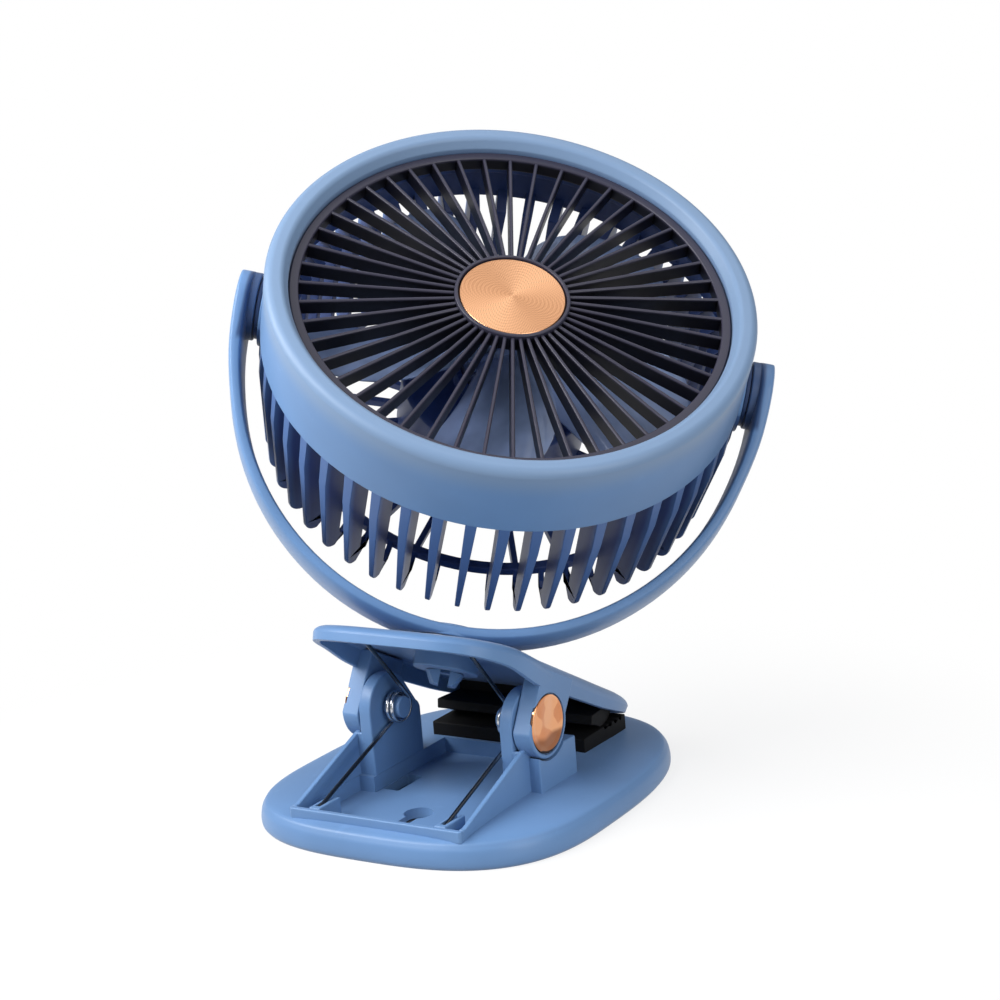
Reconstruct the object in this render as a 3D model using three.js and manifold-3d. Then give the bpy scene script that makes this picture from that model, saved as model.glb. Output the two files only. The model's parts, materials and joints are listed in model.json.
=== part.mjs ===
// A clip fan: a round, slatted fan head that tilts in a U-shaped yoke, a yoke that swivels on
// the upper jaw of a spring clip, and a base plate that is both the lower jaw and the foot.
// Millimetres, +Z up. The origin is on the surface the base stands on, below the clip's hinge.
// X runs along the hinge, +Y towards the clip's mouth and -Y towards the squeeze handle.
import * as THREE from "three";
import { mergeVertices } from "three/addons/utils/BufferGeometryUtils.js";
import Module from "manifold-3d";

const wasm = await Module();
wasm.setup();

// ---------------------------------------------------------------- driving dimensions

const GAP = 0.3; // clearance kept between pieces that touch

// Pose in which the fan stands, in degrees.
const JAW_SLOPE = 27.55; // the jaw and the swivel axis lean this far
const SWIVEL_TURN = 33.1; // yoke turned on the jaw
const HEAD_TILT = 31.22; // head tipped back in the yoke

// Base plate: a rounded shield, wide behind the hinge and longer towards the mouth.
const BASE_HALF_WIDTH = 65;
const BASE_REAR = 55; // reach behind the hinge
const BASE_NOSE = 80; // reach in front of it
const BASE_EDGE = 9.2; // height at the rim
const BASE_CROWN = 11; // height in the middle
const BASE_ROUNDNESS = 2.25; // exponent of the outline, 2 would be an ellipse

const HINGE_HEIGHT = 32.34;
const EAR_RADIUS = 11.5; // round ends of the ears of both jaws
const BASE_EAR_IN = 25.5;
const BASE_EAR_OUT = 30.2;
const JAW_EAR_IN = 30.6;
const JAW_EAR_OUT = 37.3;

const FRAME_FRONT = 48; // inner face of the bar that joins the gussets, behind the hinge
const FRAME_TOP = 13.25;
const GUSSET_IN = 31.6;
const GUSSET_OUT = 33.4;

// Upper jaw, in a frame whose Z is the swivel axis and whose Y runs towards the mouth.
const JAW_TOP = -2.1;
const JAW_PLATE = 2.5; // wall of the top
const JAW_HANDLE = 40; // reach to the handle end
const JAW_MOUTH = 82; // reach to the mouth end
const SWIVEL_FOOT = [0, 2.9, 56.7]; // where the swivel axis leaves the yoke

// Clip pads.
const PAD_HALF_WIDTH = 31;
const PAD_REAR = 32.2;
const PAD_FRONT = 61;
const PAD_FLOOR = 13.4; // top of the platform below the lower pad
const PAD_MEET = 16.1; // height at which the two pads meet

// Yoke.
const YOKE_RADIUS = 89.5;
const YOKE_DROP = 11.1; // centre of the U below the tilt axis
const YOKE_WIDTH = 27;
const YOKE_WALL = 3.9;
const ARM_WALL = 5.2;
const ARM_FACE = 92; // outer face of the arms at the tilt axis
const PIVOT_HEIGHT = YOKE_RADIUS + YOKE_DROP;

// Fan head, round about its own axis. "Depth" is measured forwards from the tilt axis.
const DRUM_RADIUS = 82.5;
const LIP_ROUND = 4.6; // rounding of the front lip
const LIP_DEPTH = 25; // depth of the centre of that rounding
const MOUTH_RADIUS = 74.4; // opening that holds the grille
const BAND_DEPTH = 2.3; // rear edge of the plain band
const REAR_DEPTH = -36.3; // outer face of the rear spokes
const WALL = 2.8;
const SLAT_COUNT = 48;
const SLAT_RADIAL = 7;
const SLAT_WIDE = 3.7;
const SLAT_NARROW = 1.8;
const SPOKE_WALL = 3;
const REAR_RING_RADIUS = 65.5;
const HUB_RADIUS = 33; // rear chamber for the cell and the board
const HUB_FRONT = -14; // depth of the chamber's front face

const RIB_COUNT = 48;
const RIB_WALL = 1.25;
const GRILLE_TOP = 26;
const GRILLE_BASE = 20.9;
const DISC_RADIUS = 17.96;

const BLADE_COUNT = 5;
const BLADE_RADIUS = 66;
const BLADE_PHASE = 91.5; // angle of a gap between two blades, from the tilt axis
const MOTOR_RADIUS = 13;

// Torsion springs of the clip.
const WIRE = 1.4;
const COIL_RADIUS = 4.8;
const COIL_PITCH = 1.9;
const COIL_TURNS = 2; // whole turns, besides the part turn between the legs

// ---------------------------------------------------------------- materials

const plastic = (color, roughness) => new THREE.MeshStandardMaterial({ color, roughness, metalness: 0 });
const metal = (color, roughness) => new THREE.MeshStandardMaterial({ color, roughness, metalness: 1 });
const BLUE = plastic(0x6a8fc4, 0.42);
const GREY = plastic(0x3c3745, 0.4);
const SMOKE = plastic(0x40557e, 0.3);
const BLACK = plastic(0x0b0b0d, 0.75);
const WHITE = plastic(0xe9ecf0, 0.4);
const COPPER = metal(0xe0976a, 0.22);
const STEEL = metal(0xb8bcc2, 0.28);
const GREEN = plastic(0x1d5a3a, 0.5);
const SLEEVE = plastic(0x2f6fb0, 0.45);

// ---------------------------------------------------------------- solids

const radians = THREE.MathUtils.degToRad;

// A closed three.js geometry as a solid whose faces point outwards.
function solid(geometry) {
  const bare = geometry.clone();
  bare.deleteAttribute("normal");
  bare.deleteAttribute("uv");
  const merged = mergeVertices(bare, 1e-4);
  const triVerts = new Uint32Array(merged.index.array);
  const vertProperties = new Float32Array(merged.attributes.position.array);
  const build = () => new wasm.Manifold(new wasm.Mesh({ numProp: 3, vertProperties, triVerts }));
  const made = build();
  if (made.volume() >= 0) return made;
  for (let i = 0; i < triVerts.length; i += 3) {
    [triVerts[i + 1], triVerts[i + 2]] = [triVerts[i + 2], triVerts[i + 1]];
  }
  return build();
}

const joined = (solids) => solids.reduce((whole, piece) => whole.add(piece));
const without = (body, solids) => solids.reduce((whole, piece) => whole.subtract(piece), body);

function mesh(name, body, material) {
  const { vertProperties, triVerts } = body.getMesh();
  const geometry = new THREE.BufferGeometry();
  geometry.setAttribute("position", new THREE.BufferAttribute(vertProperties, 3));
  geometry.setIndex(new THREE.BufferAttribute(triVerts, 1));
  geometry.computeVertexNormals();
  const made = new THREE.Mesh(geometry, material);
  made.name = name;
  return made;
}

// Moves every vertex of a geometry to where place(x, y, z) says.
function warped(geometry, place) {
  const at = geometry.attributes.position;
  for (let i = 0; i < at.count; i += 1) at.setXYZ(i, ...place(at.getX(i), at.getY(i), at.getZ(i)));
  return geometry;
}

function box(x0, x1, y0, y1, z0, z1) {
  const geometry = new THREE.BoxGeometry(x1 - x0, y1 - y0, z1 - z0);
  return solid(geometry.translate((x0 + x1) / 2, (y0 + y1) / 2, (z0 + z1) / 2));
}

// A round bar along X, Y or Z between two stations.
function bar(axis, radius, from, to, [u, v] = [0, 0], sides = 24, radiusTo = radius) {
  const geometry = new THREE.CylinderGeometry(radiusTo, radius, to - from, sides);
  geometry.translate(0, (from + to) / 2, 0);
  if (axis === "x") geometry.rotateZ(-Math.PI / 2).translate(0, u, v);
  if (axis === "y") geometry.translate(u, 0, v);
  if (axis === "z") geometry.rotateX(Math.PI / 2).translate(u, v, 0);
  return solid(geometry);
}

const profile = (pairs) => pairs.map(([r, h]) => new THREE.Vector2(r, h));

function arcPoints(cx, cy, radius, fromDegrees, toDegrees, steps) {
  return Array.from({ length: steps + 1 }, (_, i) => {
    const angle = radians(fromDegrees + ((toDegrees - fromDegrees) * i) / steps);
    return [cx + radius * Math.cos(angle), cy + radius * Math.sin(angle)];
  });
}

// A profile of [radius, depth] pairs, turned about the fan's axis, whose front is -Y. It is
// started half a pitch round, so that slats and ribs meet the middle of a facet.
const HALF_PITCH = Math.PI / 48;

function turned(pairs, segments) {
  return solid(new THREE.LatheGeometry(profile(pairs), segments).rotateX(Math.PI).rotateY(HALF_PITCH));
}

// A closed ring profile comes back to its first point.
const ring = (pairs, segments) => turned([...pairs, pairs[0]], segments);

// A flat outline of [y, z] pairs, extruded along X from x0 to x1.
function slab(pairs, x0, x1) {
  const shape = new THREE.Shape(profile(pairs));
  const geometry = new THREE.ExtrudeGeometry(shape, { depth: x1 - x0, bevelEnabled: false });
  return solid(warped(geometry, (y, z, x) => [x0 + x, y, z]));
}

// The same on both sides of the middle: side is -1 or 1, and a and b are distances from X = 0.
function sideSlab(pairs, side, a, b) {
  return side > 0 ? slab(pairs, a, b) : slab(pairs, -b, -a);
}

const sideBar = (radius, side, a, b, at, sides) =>
  side > 0 ? bar("x", radius, a, b, at, sides) : bar("x", radius, -b, -a, at, sides);

// A plan outline by angle: a superellipse with its own reach and roundness at each end.
function planOutline(halfWidth, rear, front, rearPower, frontPower) {
  return (angle) => {
    const power = 2 / (Math.sin(angle) < 0 ? rearPower : frontPower);
    const reach = Math.sin(angle) < 0 ? rear : front;
    const y = reach * Math.sign(Math.sin(angle)) * Math.abs(Math.sin(angle)) ** power;
    const x = halfWidth(y) * Math.sign(Math.cos(angle)) * Math.abs(Math.cos(angle)) ** power;
    return [x, y];
  };
}

// A plate of that outline. The section is a list of [share of the outline, height] pairs from
// the middle of the underside round the rim to the middle of the top.
function plate(outline, section, segments, height = (y, z) => z) {
  const geometry = new THREE.LatheGeometry(profile(section), segments);
  return solid(
    warped(geometry, (x, z, y) => {
      const share = Math.hypot(x, y);
      const [edgeX, edgeY] = outline(Math.atan2(y, x));
      return [edgeX * share, edgeY * share, height(edgeY * share, z)];
    }),
  );
}

// ---------------------------------------------------------------- base

const baseOutline = planOutline(() => BASE_HALF_WIDTH, BASE_REAR, BASE_NOSE, 2.35, BASE_ROUNDNESS);
const HINGE = [0, HINGE_HEIGHT]; // the hinge axis in [y, z]

const baseSlab = () =>
  plate(
    baseOutline,
    [
      [0, 2.1],
      [0.93, 2.1],
      [0.93, 0],
      [0.985, 0],
      [1, 1.4],
      [1, 4.2],
      [0.985, 7.2],
      [0.94, BASE_EDGE],
      [0.75, BASE_EDGE + 1.2],
      [0.55, BASE_CROWN],
      [0, BASE_CROWN],
    ],
    48,
  );

// Inner ear: an arch about the hinge, with a lower rounded wall running on towards the mouth.
function baseEar(side) {
  const foot = BASE_CROWN - 1;
  const rearWall = 18;
  const outline = [
    [-EAR_RADIUS, foot],
    ...arcPoints(0, HINGE_HEIGHT, EAR_RADIUS, 180, 30, 9),
    ...arcPoints(rearWall - 4, 26, 4, 60, 0, 3),
    [rearWall, foot],
  ];
  return sideSlab(outline, side, BASE_EAR_IN, BASE_EAR_OUT);
}

// Gusset: a thin wall that rises from the frame's bar to the ear.
const gusset = (side) =>
  sideSlab(
    [
      [-FRAME_FRONT - 2.4, BASE_EDGE - 1],
      [-6, BASE_EDGE - 1],
      [-6, 26.2],
      [-10.4, 25.7],
      [-FRAME_FRONT, FRAME_TOP],
      [-FRAME_FRONT - 2.4, FRAME_TOP],
    ],
    side,
    GUSSET_IN,
    GUSSET_OUT,
  );

// Saddle: the block outside the ear whose hollow lets the jaw's ear turn.
function saddle(side) {
  const block = sideSlab(
    [
      [-7.3, BASE_EDGE - 0.6],
      [15.8, BASE_EDGE - 0.6],
      [15.8, 23.4],
      [-7.3, 24],
    ],
    side,
    BASE_EAR_OUT - 0.1,
    JAW_EAR_OUT + 0.2,
  );
  const web = side > 0 ? box(29, GUSSET_OUT, -11.4, -6, 9, 25.8) : box(-GUSSET_OUT, -29, -11.4, -6, 9, 25.8);
  return joined([block, web]);
}

// Clip that holds the end of a spring leg against the frame's bar.
function springClip(side) {
  const inner = side > 0 ? 22.2 : -26.6;
  const block = box(inner, inner + 4.4, -FRAME_FRONT, -36.5, BASE_EDGE, 13);
  const channel = bar("y", WIRE / 2 + GAP + 0.1, -46.4, -36, [inner + 2.2, 11.55], 16);
  const slot = box(inner + 1.2, inner + 3.2, -46.4, -36, 11.6, 14);
  return without(block, [channel, slot]);
}

function keyhole() {
  const round = bar("z", 5, -1, 14, [0, -24.5], 24);
  const slot = box(-2.3, 2.3, -35, -24, -1, 14);
  const end = bar("z", 2.3, -1, 14, [0, -35], 20);
  return joined([round, slot, end]);
}

const springWindow = (side) => box(side > 0 ? 19.5 : -25, side > 0 ? 25 : -19.5, -6, 5, -1, 14);

const SCREW_SPOTS = [
  [-46, -24],
  [46, -24],
  [-42, 48],
  [42, 48],
];

function basePlate() {
  const sides = [-1, 1];
  const platformEdge = PAD_HALF_WIDTH + 1.2;
  const raised = [
    baseSlab(),
    box(-platformEdge, platformEdge, PAD_REAR - 1, PAD_FRONT + 1.2, BASE_EDGE - 1, PAD_FLOOR),
    box(-GUSSET_OUT, GUSSET_OUT, -FRAME_FRONT - 2.6, -FRAME_FRONT, 7.5, FRAME_TOP),
    ...sides.map(gusset),
    ...sides.map(saddle),
  ];
  const turning = sides.map((side) => sideBar(EAR_RADIUS + 0.7, side, BASE_EAR_OUT, 40, HINGE, 36));
  const ears = [...sides.map(baseEar), ...sides.map(springClip)];
  const openings = [
    bar("x", 4, -40, 40, HINGE, 20),
    keyhole(),
    ...sides.map(springWindow),
    ...SCREW_SPOTS.map((spot) => bar("z", 1.5, -1, 7, spot, 12)),
  ];
  return mesh("base_plate", without(joined([without(joined(raised), turning), ...ears]), openings), BLUE);
}

// Flat cover let into the underside of the base plate, flush with its rim.
function bottomCover() {
  const cover = plate(
    baseOutline,
    [
      [0, 0],
      [0.925, 0],
      [0.925, 1.8],
      [0, 1.8],
    ],
    40,
  );
  const openings = [
    keyhole(),
    springWindow(-1),
    springWindow(1),
    ...SCREW_SPOTS.map((spot) => bar("z", 3.3, -1, 1.1, spot, 16)),
    ...SCREW_SPOTS.map((spot) => bar("z", 1.6, -1, 3, spot, 12)),
  ];
  return mesh("bottom_cover", without(cover, openings), BLUE);
}

function coverScrew(spot, index) {
  const head = bar("z", 2.8, 0.1, 0.8, spot, 14);
  const shank = bar("z", 1.2, 0.7, 6, spot, 10);
  return mesh(`cover_screw_${index + 1}`, joined([head, shank]), STEEL);
}

// Rubber pad on the base, with a step towards the hinge and cross grooves where it grips.
function lowerPad() {
  const floor = PAD_FLOOR + GAP;
  const block = slab(
    [
      [PAD_REAR, floor],
      [PAD_FRONT, floor],
      [PAD_FRONT, PAD_MEET - GAP],
      [PAD_REAR, PAD_MEET - GAP],
    ],
    -PAD_HALF_WIDTH,
    PAD_HALF_WIDTH,
  );
  const grooves = [47, 50.5, 54, 57.5].map((y) =>
    slab(
      [
        [y - 0.8, PAD_MEET + 0.1],
        [y, PAD_MEET - 1.2],
        [y + 0.8, PAD_MEET + 0.1],
      ],
      -40,
      40,
    ),
  );
  return mesh("lower_pad", without(block, grooves), BLACK);
}

// ---------------------------------------------------------------- hinge

// Moulded pin: from the spring, through both ears, to a shallow head under the copper cap.
function hingePin(side) {
  const pin = sideBar(3.7, side, 19.2, JAW_EAR_OUT - 1.4, HINGE, 20);
  const head = sideBar(8.6, side, JAW_EAR_OUT - 1.5, JAW_EAR_OUT, HINGE, 24);
  return mesh(side < 0 ? "hinge_pin_left" : "hinge_pin_right", joined([pin, head]), BLUE);
}

// Copper cap with a rounded rim and a slightly hollow face.
function hingeCap(side) {
  const face = JAW_EAR_OUT + 1.6;
  const inside = JAW_EAR_OUT + GAP;
  const section = [
    [0, inside],
    [9.9, inside],
    [9.9, face - 0.6],
    [9.3, face],
    [7.6, face - 0.15],
    [0, face - 0.5],
  ];
  const geometry = new THREE.LatheGeometry(profile(section), 24).rotateZ(side > 0 ? -Math.PI / 2 : Math.PI / 2);
  const name = side < 0 ? "hinge_cap_left" : "hinge_cap_right";
  return mesh(name, solid(geometry.translate(0, 0, HINGE_HEIGHT)), COPPER);
}

// Centre line of a torsion spring: a leg from the base's clip, the coil, a leg to the jaw.
class SpringLine extends THREE.Curve {
  constructor(side, lowerEnd, upperEnd) {
    super();
    this.side = side;
    this.ends = [lowerEnd, upperEnd];
    const [entry, exit] = this.ends.map(([y, z], leg) => {
      const reach = Math.hypot(y, z - HINGE_HEIGHT);
      const bearing = Math.atan2(z - HINGE_HEIGHT, y);
      const turn = Math.acos(COIL_RADIUS / reach);
      return leg === 0 ? bearing + turn : bearing - turn;
    });
    this.entry = entry;
    const part = THREE.MathUtils.euclideanModulo(exit - entry, 2 * Math.PI);
    this.sweep = part + 2 * Math.PI * COIL_TURNS;
    this.lengths = [lowerEnd, upperEnd].map(([y, z]) =>
      Math.sqrt(y ** 2 + (z - HINGE_HEIGHT) ** 2 - COIL_RADIUS ** 2),
    );
    this.lengths.splice(1, 0, this.sweep * COIL_RADIUS);
    this.total = this.lengths[0] + this.lengths[1] + this.lengths[2];
  }

  coil(share) {
    const angle = this.entry + share * this.sweep;
    const along = 24.5 - (share * this.sweep * COIL_PITCH) / (2 * Math.PI);
    const y = COIL_RADIUS * Math.cos(angle);
    const z = HINGE_HEIGHT + COIL_RADIUS * Math.sin(angle);
    return new THREE.Vector3(this.side * along, y, z);
  }

  getPoint(t, target = new THREE.Vector3()) {
    const run = t * this.total;
    const [lower, coil, upper] = this.lengths;
    if (run < lower) {
      const start = this.coil(0);
      const end = new THREE.Vector3(start.x, ...this.ends[0]);
      return target.copy(end.lerp(start, run / lower));
    }
    if (run < lower + coil) return target.copy(this.coil((run - lower) / coil));
    const start = this.coil(1);
    const end = new THREE.Vector3(start.x, ...this.ends[1]);
    return target.copy(start.lerp(end, (run - lower - coil) / upper));
  }
}

// Least distance between stretches of the wire that are more than half a turn apart.
function leastGap(points, total) {
  const step = total / (points.length - 1);
  const apart = Math.ceil((Math.PI * COIL_RADIUS) / step);
  let least = Infinity;
  points.forEach((p, i) => {
    points.slice(i + apart).forEach((q) => {
      least = Math.min(least, p.distanceTo(q));
    });
  });
  return least - WIRE;
}

function clipSpring(side) {
  const lowerEnd = [-45.5, 11.6];
  const upperEnd = [-17.4, 60.4];
  const line = new SpringLine(side, lowerEnd, upperEnd);
  const section = new THREE.Shape(profile(arcPoints(0, 0, WIRE / 2, 0, 288, 4)));
  const steps = Math.round(line.total / ((2 * Math.PI * COIL_RADIUS) / 8));
  const geometry = new THREE.ExtrudeGeometry(section, { steps, bevelEnabled: false, extrudePath: line });
  const name = side < 0 ? "clip_spring_left" : "clip_spring_right";
  console.log(`${name}: least gap ${leastGap(line.getSpacedPoints(400), line.total).toFixed(2)} mm`);
  return mesh(name, solid(geometry), STEEL);
}

// ---------------------------------------------------------------- upper jaw

const jawHalfWidth = (y) => 38.5 - (3.8 * (y + 20)) / 90;
const jawOutline = planOutline(jawHalfWidth, JAW_HANDLE, JAW_MOUTH, 2.6, 5.5);

// World [y, z] seen in the jaw's frame.
function inJaw([y, z]) {
  const across = y - SWIVEL_FOOT[1];
  const up = z - SWIVEL_FOOT[2];
  const [c, s] = [Math.cos(radians(JAW_SLOPE)), Math.sin(radians(JAW_SLOPE))];
  return [across * c - up * s, across * s + up * c];
}

const JAW_HINGE = inJaw(HINGE);

// The rim is deep round the handle and gets shallower towards the mouth.
function jawShell() {
  const shoulder = -5.2;
  const rimDepth = (y) => THREE.MathUtils.mapLinear(y, -JAW_HANDLE, JAW_MOUTH, 6.9, 2.6);
  return plate(
    jawOutline,
    [
      [0, JAW_TOP - JAW_PLATE],
      [0.9, JAW_TOP - JAW_PLATE],
      [0.935, shoulder - 0.2],
      [0.94, shoulder - 1],
      [0.99, shoulder - 1],
      [1, shoulder],
      [0.985, -3.3],
      [0.93, JAW_TOP - 0.2],
      [0.85, JAW_TOP],
      [0, JAW_TOP],
    ],
    44,
    (y, z) => (z < shoulder - 0.5 ? shoulder - rimDepth(y) : z),
  );
}

// Outer ear: straight sides down from the shell, round about the hinge.
function jawEar(side) {
  const [y, z] = JAW_HINGE;
  const lean = 90 - JAW_SLOPE;
  const outline = arcPoints(y, z, EAR_RADIUS, -lean - 90, lean - 90 + 2 * JAW_SLOPE, 12);
  const rise = -4 - z;
  const last = outline[outline.length - 1];
  const first = outline[0];
  outline.push([last[0] + 1.2, z + rise]);
  outline.push([first[0] + 1.5, z + rise]);
  return sideSlab(outline, side, JAW_EAR_IN, JAW_EAR_OUT);
}

function upperJaw() {
  const sides = [-1, 1];
  const boss = bar("z", 11, -10.6, JAW_TOP - 1, [0, 0], 28);
  const body = joined([jawShell(), boss, ...sides.map(jawEar)]);
  const openings = [
    bar("z", 5, -20, 2, [0, 0], 20),
    ...sides.map((side) => sideBar(4, side, 29, 40, JAW_HINGE, 20)),
    ...sides.map((side) => sideBar(8.9, side, JAW_EAR_OUT - 1.8, 40, JAW_HINGE, 24)),
  ];
  return mesh("upper_jaw", without(body, openings), BLUE);
}

// Rubber pad under the jaw: a lip towards the hinge over a wedge that fills the jaw's mouth.
function upperPad() {
  const underside = JAW_TOP - JAW_PLATE - GAP;
  const outline = [
    inJaw([44.6, PAD_MEET]),
    inJaw([PAD_FRONT, PAD_MEET]),
    [inJaw([PAD_FRONT, PAD_MEET])[0] + 2, underside],
    [56.5, underside],
    inJaw([49.6, 22.5]),
    inJaw([37.4, 22.6]),
    inJaw([36.8, 19.3]),
    inJaw([39.4, 18.6]),
  ];
  const withinRim = plate(
    jawOutline,
    [
      [0, -60],
      [0.885, -60],
      [0.885, 0],
      [0, 0],
    ],
    48,
  );
  const block = slab(outline, -PAD_HALF_WIDTH, PAD_HALF_WIDTH);
  return mesh("upper_pad", block.intersect(withinRim), BLACK);
}

// ---------------------------------------------------------------- yoke

// A loft along the U, from one arm's top to the other. Each station has a centre, a normal,
// a width and a wall, and each section is a rectangle with round corners.
function yokeBand() {
  const bend = 20;
  const arm = 7;
  const stations = bend + 2 * arm;
  const top = YOKE_WIDTH / 2;
  const armRun = YOKE_DROP + top;
  const middle = YOKE_RADIUS - YOKE_WALL / 2;
  const spread = (ARM_FACE - ARM_WALL / 2 - middle) / YOKE_DROP;
  const station = (index) => {
    const fromEnd = Math.min(index, stations - index);
    const side = index < stations / 2 ? -1 : 1;
    if (fromEnd >= arm) {
      const angle = Math.PI * ((fromEnd - arm) / bend);
      const centre = [side * middle * Math.cos(angle), -middle * Math.sin(angle)];
      return { centre, normal: [side * Math.cos(angle), -Math.sin(angle)], width: YOKE_WIDTH, wall: YOKE_WALL };
    }
    const turn = ((fromEnd / arm) * Math.PI) / 2;
    const run = armRun * (1 - Math.cos(turn));
    const high = armRun - run;
    const inRound = Math.max(0, 1 - run / top);
    const width = Math.max(3, YOKE_WIDTH * Math.sqrt(1 - inRound ** 2));
    const wall = THREE.MathUtils.mapLinear(Math.min(high, YOKE_DROP), 0, YOKE_DROP, YOKE_WALL, ARM_WALL);
    const out = middle + spread * Math.min(high, YOKE_DROP);
    return { centre: [side * out, high], normal: [side, 0], width, wall };
  };
  const corner = 2 / 5;
  const geometry = new THREE.CylinderGeometry(1, 1, stations, 10, stations);
  return solid(
    warped(geometry, (x, along, z) => {
      const { centre, normal, width, wall } = station(Math.round(stations / 2 - along));
      const size = Math.hypot(x, z);
      const angle = Math.atan2(x, z);
      const across = size * Math.sign(Math.cos(angle)) * Math.abs(Math.cos(angle)) ** corner;
      const through = size * Math.sign(Math.sin(angle)) * Math.abs(Math.sin(angle)) ** corner;
      const offset = (through * wall) / 2;
      const height = PIVOT_HEIGHT - YOKE_DROP + centre[1] + normal[1] * offset;
      return [centre[0] + normal[0] * offset, (across * width) / 2, height];
    }),
  );
}

const TILT = [0, PIVOT_HEIGHT]; // the tilt axis in the yoke's [y, z]

function yoke() {
  const sides = [-1, 1];
  const bosses = sides.map((side) => sideBar(11.2, side, 84.5, ARM_FACE - 2, TILT, 28));
  const foot = bar("z", 13.5, 0, 3, [0, 0], 28);
  const bores = [
    ...sides.map((side) => sideBar(3.8, side, 80, ARM_FACE - 1.6, TILT, 16)),
    bar("z", 5, -1, 8, [0, 0], 20),
  ];
  return mesh("yoke", without(joined([yokeBand(), foot, ...bosses]), bores), BLUE);
}

// Snap post: its head sits in the yoke, and two sprung legs hook under the jaw's boss.
function swivelPost() {
  const head = bar("z", 8.5, YOKE_WALL + 1, 6.3, [0, 0], 20);
  const shank = bar("z", 4.6, -11, 5, [0, 0], 20);
  const hooks = bar("z", 4.4, -15.4, -10.9, [0, 0], 20, 6.6);
  const split = box(-1.6, 1.6, -9, 9, -17, -6);
  const flats = [box(-9, 9, 3.4, 9, -17, -10.8), box(-9, 9, -9, -3.4, -17, -10.8)];
  return mesh("swivel_post", without(joined([head, shank, hooks]), [split, ...flats]), BLUE);
}

function swivelWasher() {
  const body = bar("z", 13, JAW_TOP + GAP, -GAP, [0, 0], 24);
  return mesh("swivel_washer", without(body, [bar("z", 5.2, -5, 3, [0, 0], 20)]), WHITE);
}

function tiltWasher(side) {
  const body = sideBar(10.6, side, DRUM_RADIUS + 0.4, 84.2, TILT, 24);
  const bore = sideBar(4.2, side, 80, 90, TILT, 16);
  return mesh(side < 0 ? "tilt_washer_left" : "tilt_washer_right", without(body, [bore]), BLACK);
}

// Shouldered pin, driven from inside the drum into the yoke's arm.
function tiltPin(side) {
  const shank = sideBar(3.5, side, 74, ARM_FACE - 2, TILT, 16);
  const head = sideBar(7, side, 72, 74.6, TILT, 20);
  const socket = sideBar(2, side, 71, 73.4, TILT, 6);
  return mesh(side < 0 ? "tilt_pin_left" : "tilt_pin_right", without(joined([shank, head]), [socket]), STEEL);
}

// ---------------------------------------------------------------- fan head, front is -Y

// A round bar along the fan's axis, given by depths.
const axial = (radius, from, to, at, sides, radiusTo) =>
  bar("y", radiusTo ?? radius, -to, -from, at, sides, radius);

function drumBand() {
  const inside = DRUM_RADIUS - WALL;
  return ring(
    [
      [DRUM_RADIUS, BAND_DEPTH],
      ...arcPoints(DRUM_RADIUS - LIP_ROUND, LIP_DEPTH, LIP_ROUND, 0, 90, 3),
      [MOUTH_RADIUS + 1.2, LIP_DEPTH + LIP_ROUND - 0.7],
      [MOUTH_RADIUS, LIP_DEPTH + LIP_ROUND - 2.4],
      [MOUTH_RADIUS, GRILLE_BASE - GAP],
      [71.8, GRILLE_BASE - GAP],
      [71.8, GRILLE_BASE - 2.3],
      [inside, GRILLE_BASE - 2.3],
      [inside, BAND_DEPTH],
    ],
    SLAT_COUNT,
  );
}

// One slat and its spoke: it runs back from the band, rounds the rear corner and goes in to
// the rear ring, or every second one to the chamber, and it gets thinner on the way.
function slat(index) {
  const outer = DRUM_RADIUS * Math.cos(HALF_PITCH) - 0.05;
  const inner = DRUM_RADIUS - SLAT_RADIAL;
  const corner = 8;
  const reach = index % 2 === 0 ? HUB_RADIUS - 1 : REAR_RING_RADIUS;
  const outline = [
    [inner, BAND_DEPTH - 4],
    [DRUM_RADIUS - WALL + 0.4, BAND_DEPTH + 1],
    [outer, BAND_DEPTH + 1],
    ...arcPoints(outer - corner, REAR_DEPTH + corner, corner, 0, -90, 2),
    [reach, REAR_DEPTH],
    [reach, REAR_DEPTH + SPOKE_WALL],
    ...arcPoints(inner - 3, REAR_DEPTH + SPOKE_WALL + 3, 3, -90, 0, 1),
  ];
  const shape = new THREE.Shape(profile(outline));
  const geometry = new THREE.ExtrudeGeometry(shape, { depth: 1, bevelEnabled: false });
  const angle = (index / SLAT_COUNT) * 2 * Math.PI;
  const [c, s] = [Math.cos(angle), Math.sin(angle)];
  return solid(
    warped(geometry, (radius, depth, across) => {
      const share = THREE.MathUtils.clamp((BAND_DEPTH - depth) / (BAND_DEPTH - REAR_DEPTH), 0, 1);
      const offset = (across - 0.5) * THREE.MathUtils.lerp(SLAT_WIDE, SLAT_NARROW, share);
      return [radius * c - offset * s, -depth, radius * s + offset * c];
    }),
  );
}

// Rear chamber: an open cup that carries the motor in front and the cell and board inside.
function rearChamber() {
  return ring(
    [
      [HUB_RADIUS, REAR_DEPTH],
      [HUB_RADIUS, HUB_FRONT - 1.5],
      [HUB_RADIUS - 1.5, HUB_FRONT],
      [MOTOR_RADIUS + 2.2, HUB_FRONT],
      [MOTOR_RADIUS + 2.2, HUB_FRONT + 5],
      [MOTOR_RADIUS + GAP, HUB_FRONT + 5],
      [MOTOR_RADIUS + GAP, HUB_FRONT],
      [4, HUB_FRONT],
      [4, HUB_FRONT - 2],
      [HUB_RADIUS - 2, HUB_FRONT - 2],
      [HUB_RADIUS - 2, REAR_DEPTH],
    ],
    SLAT_COUNT / 2,
  );
}

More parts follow.
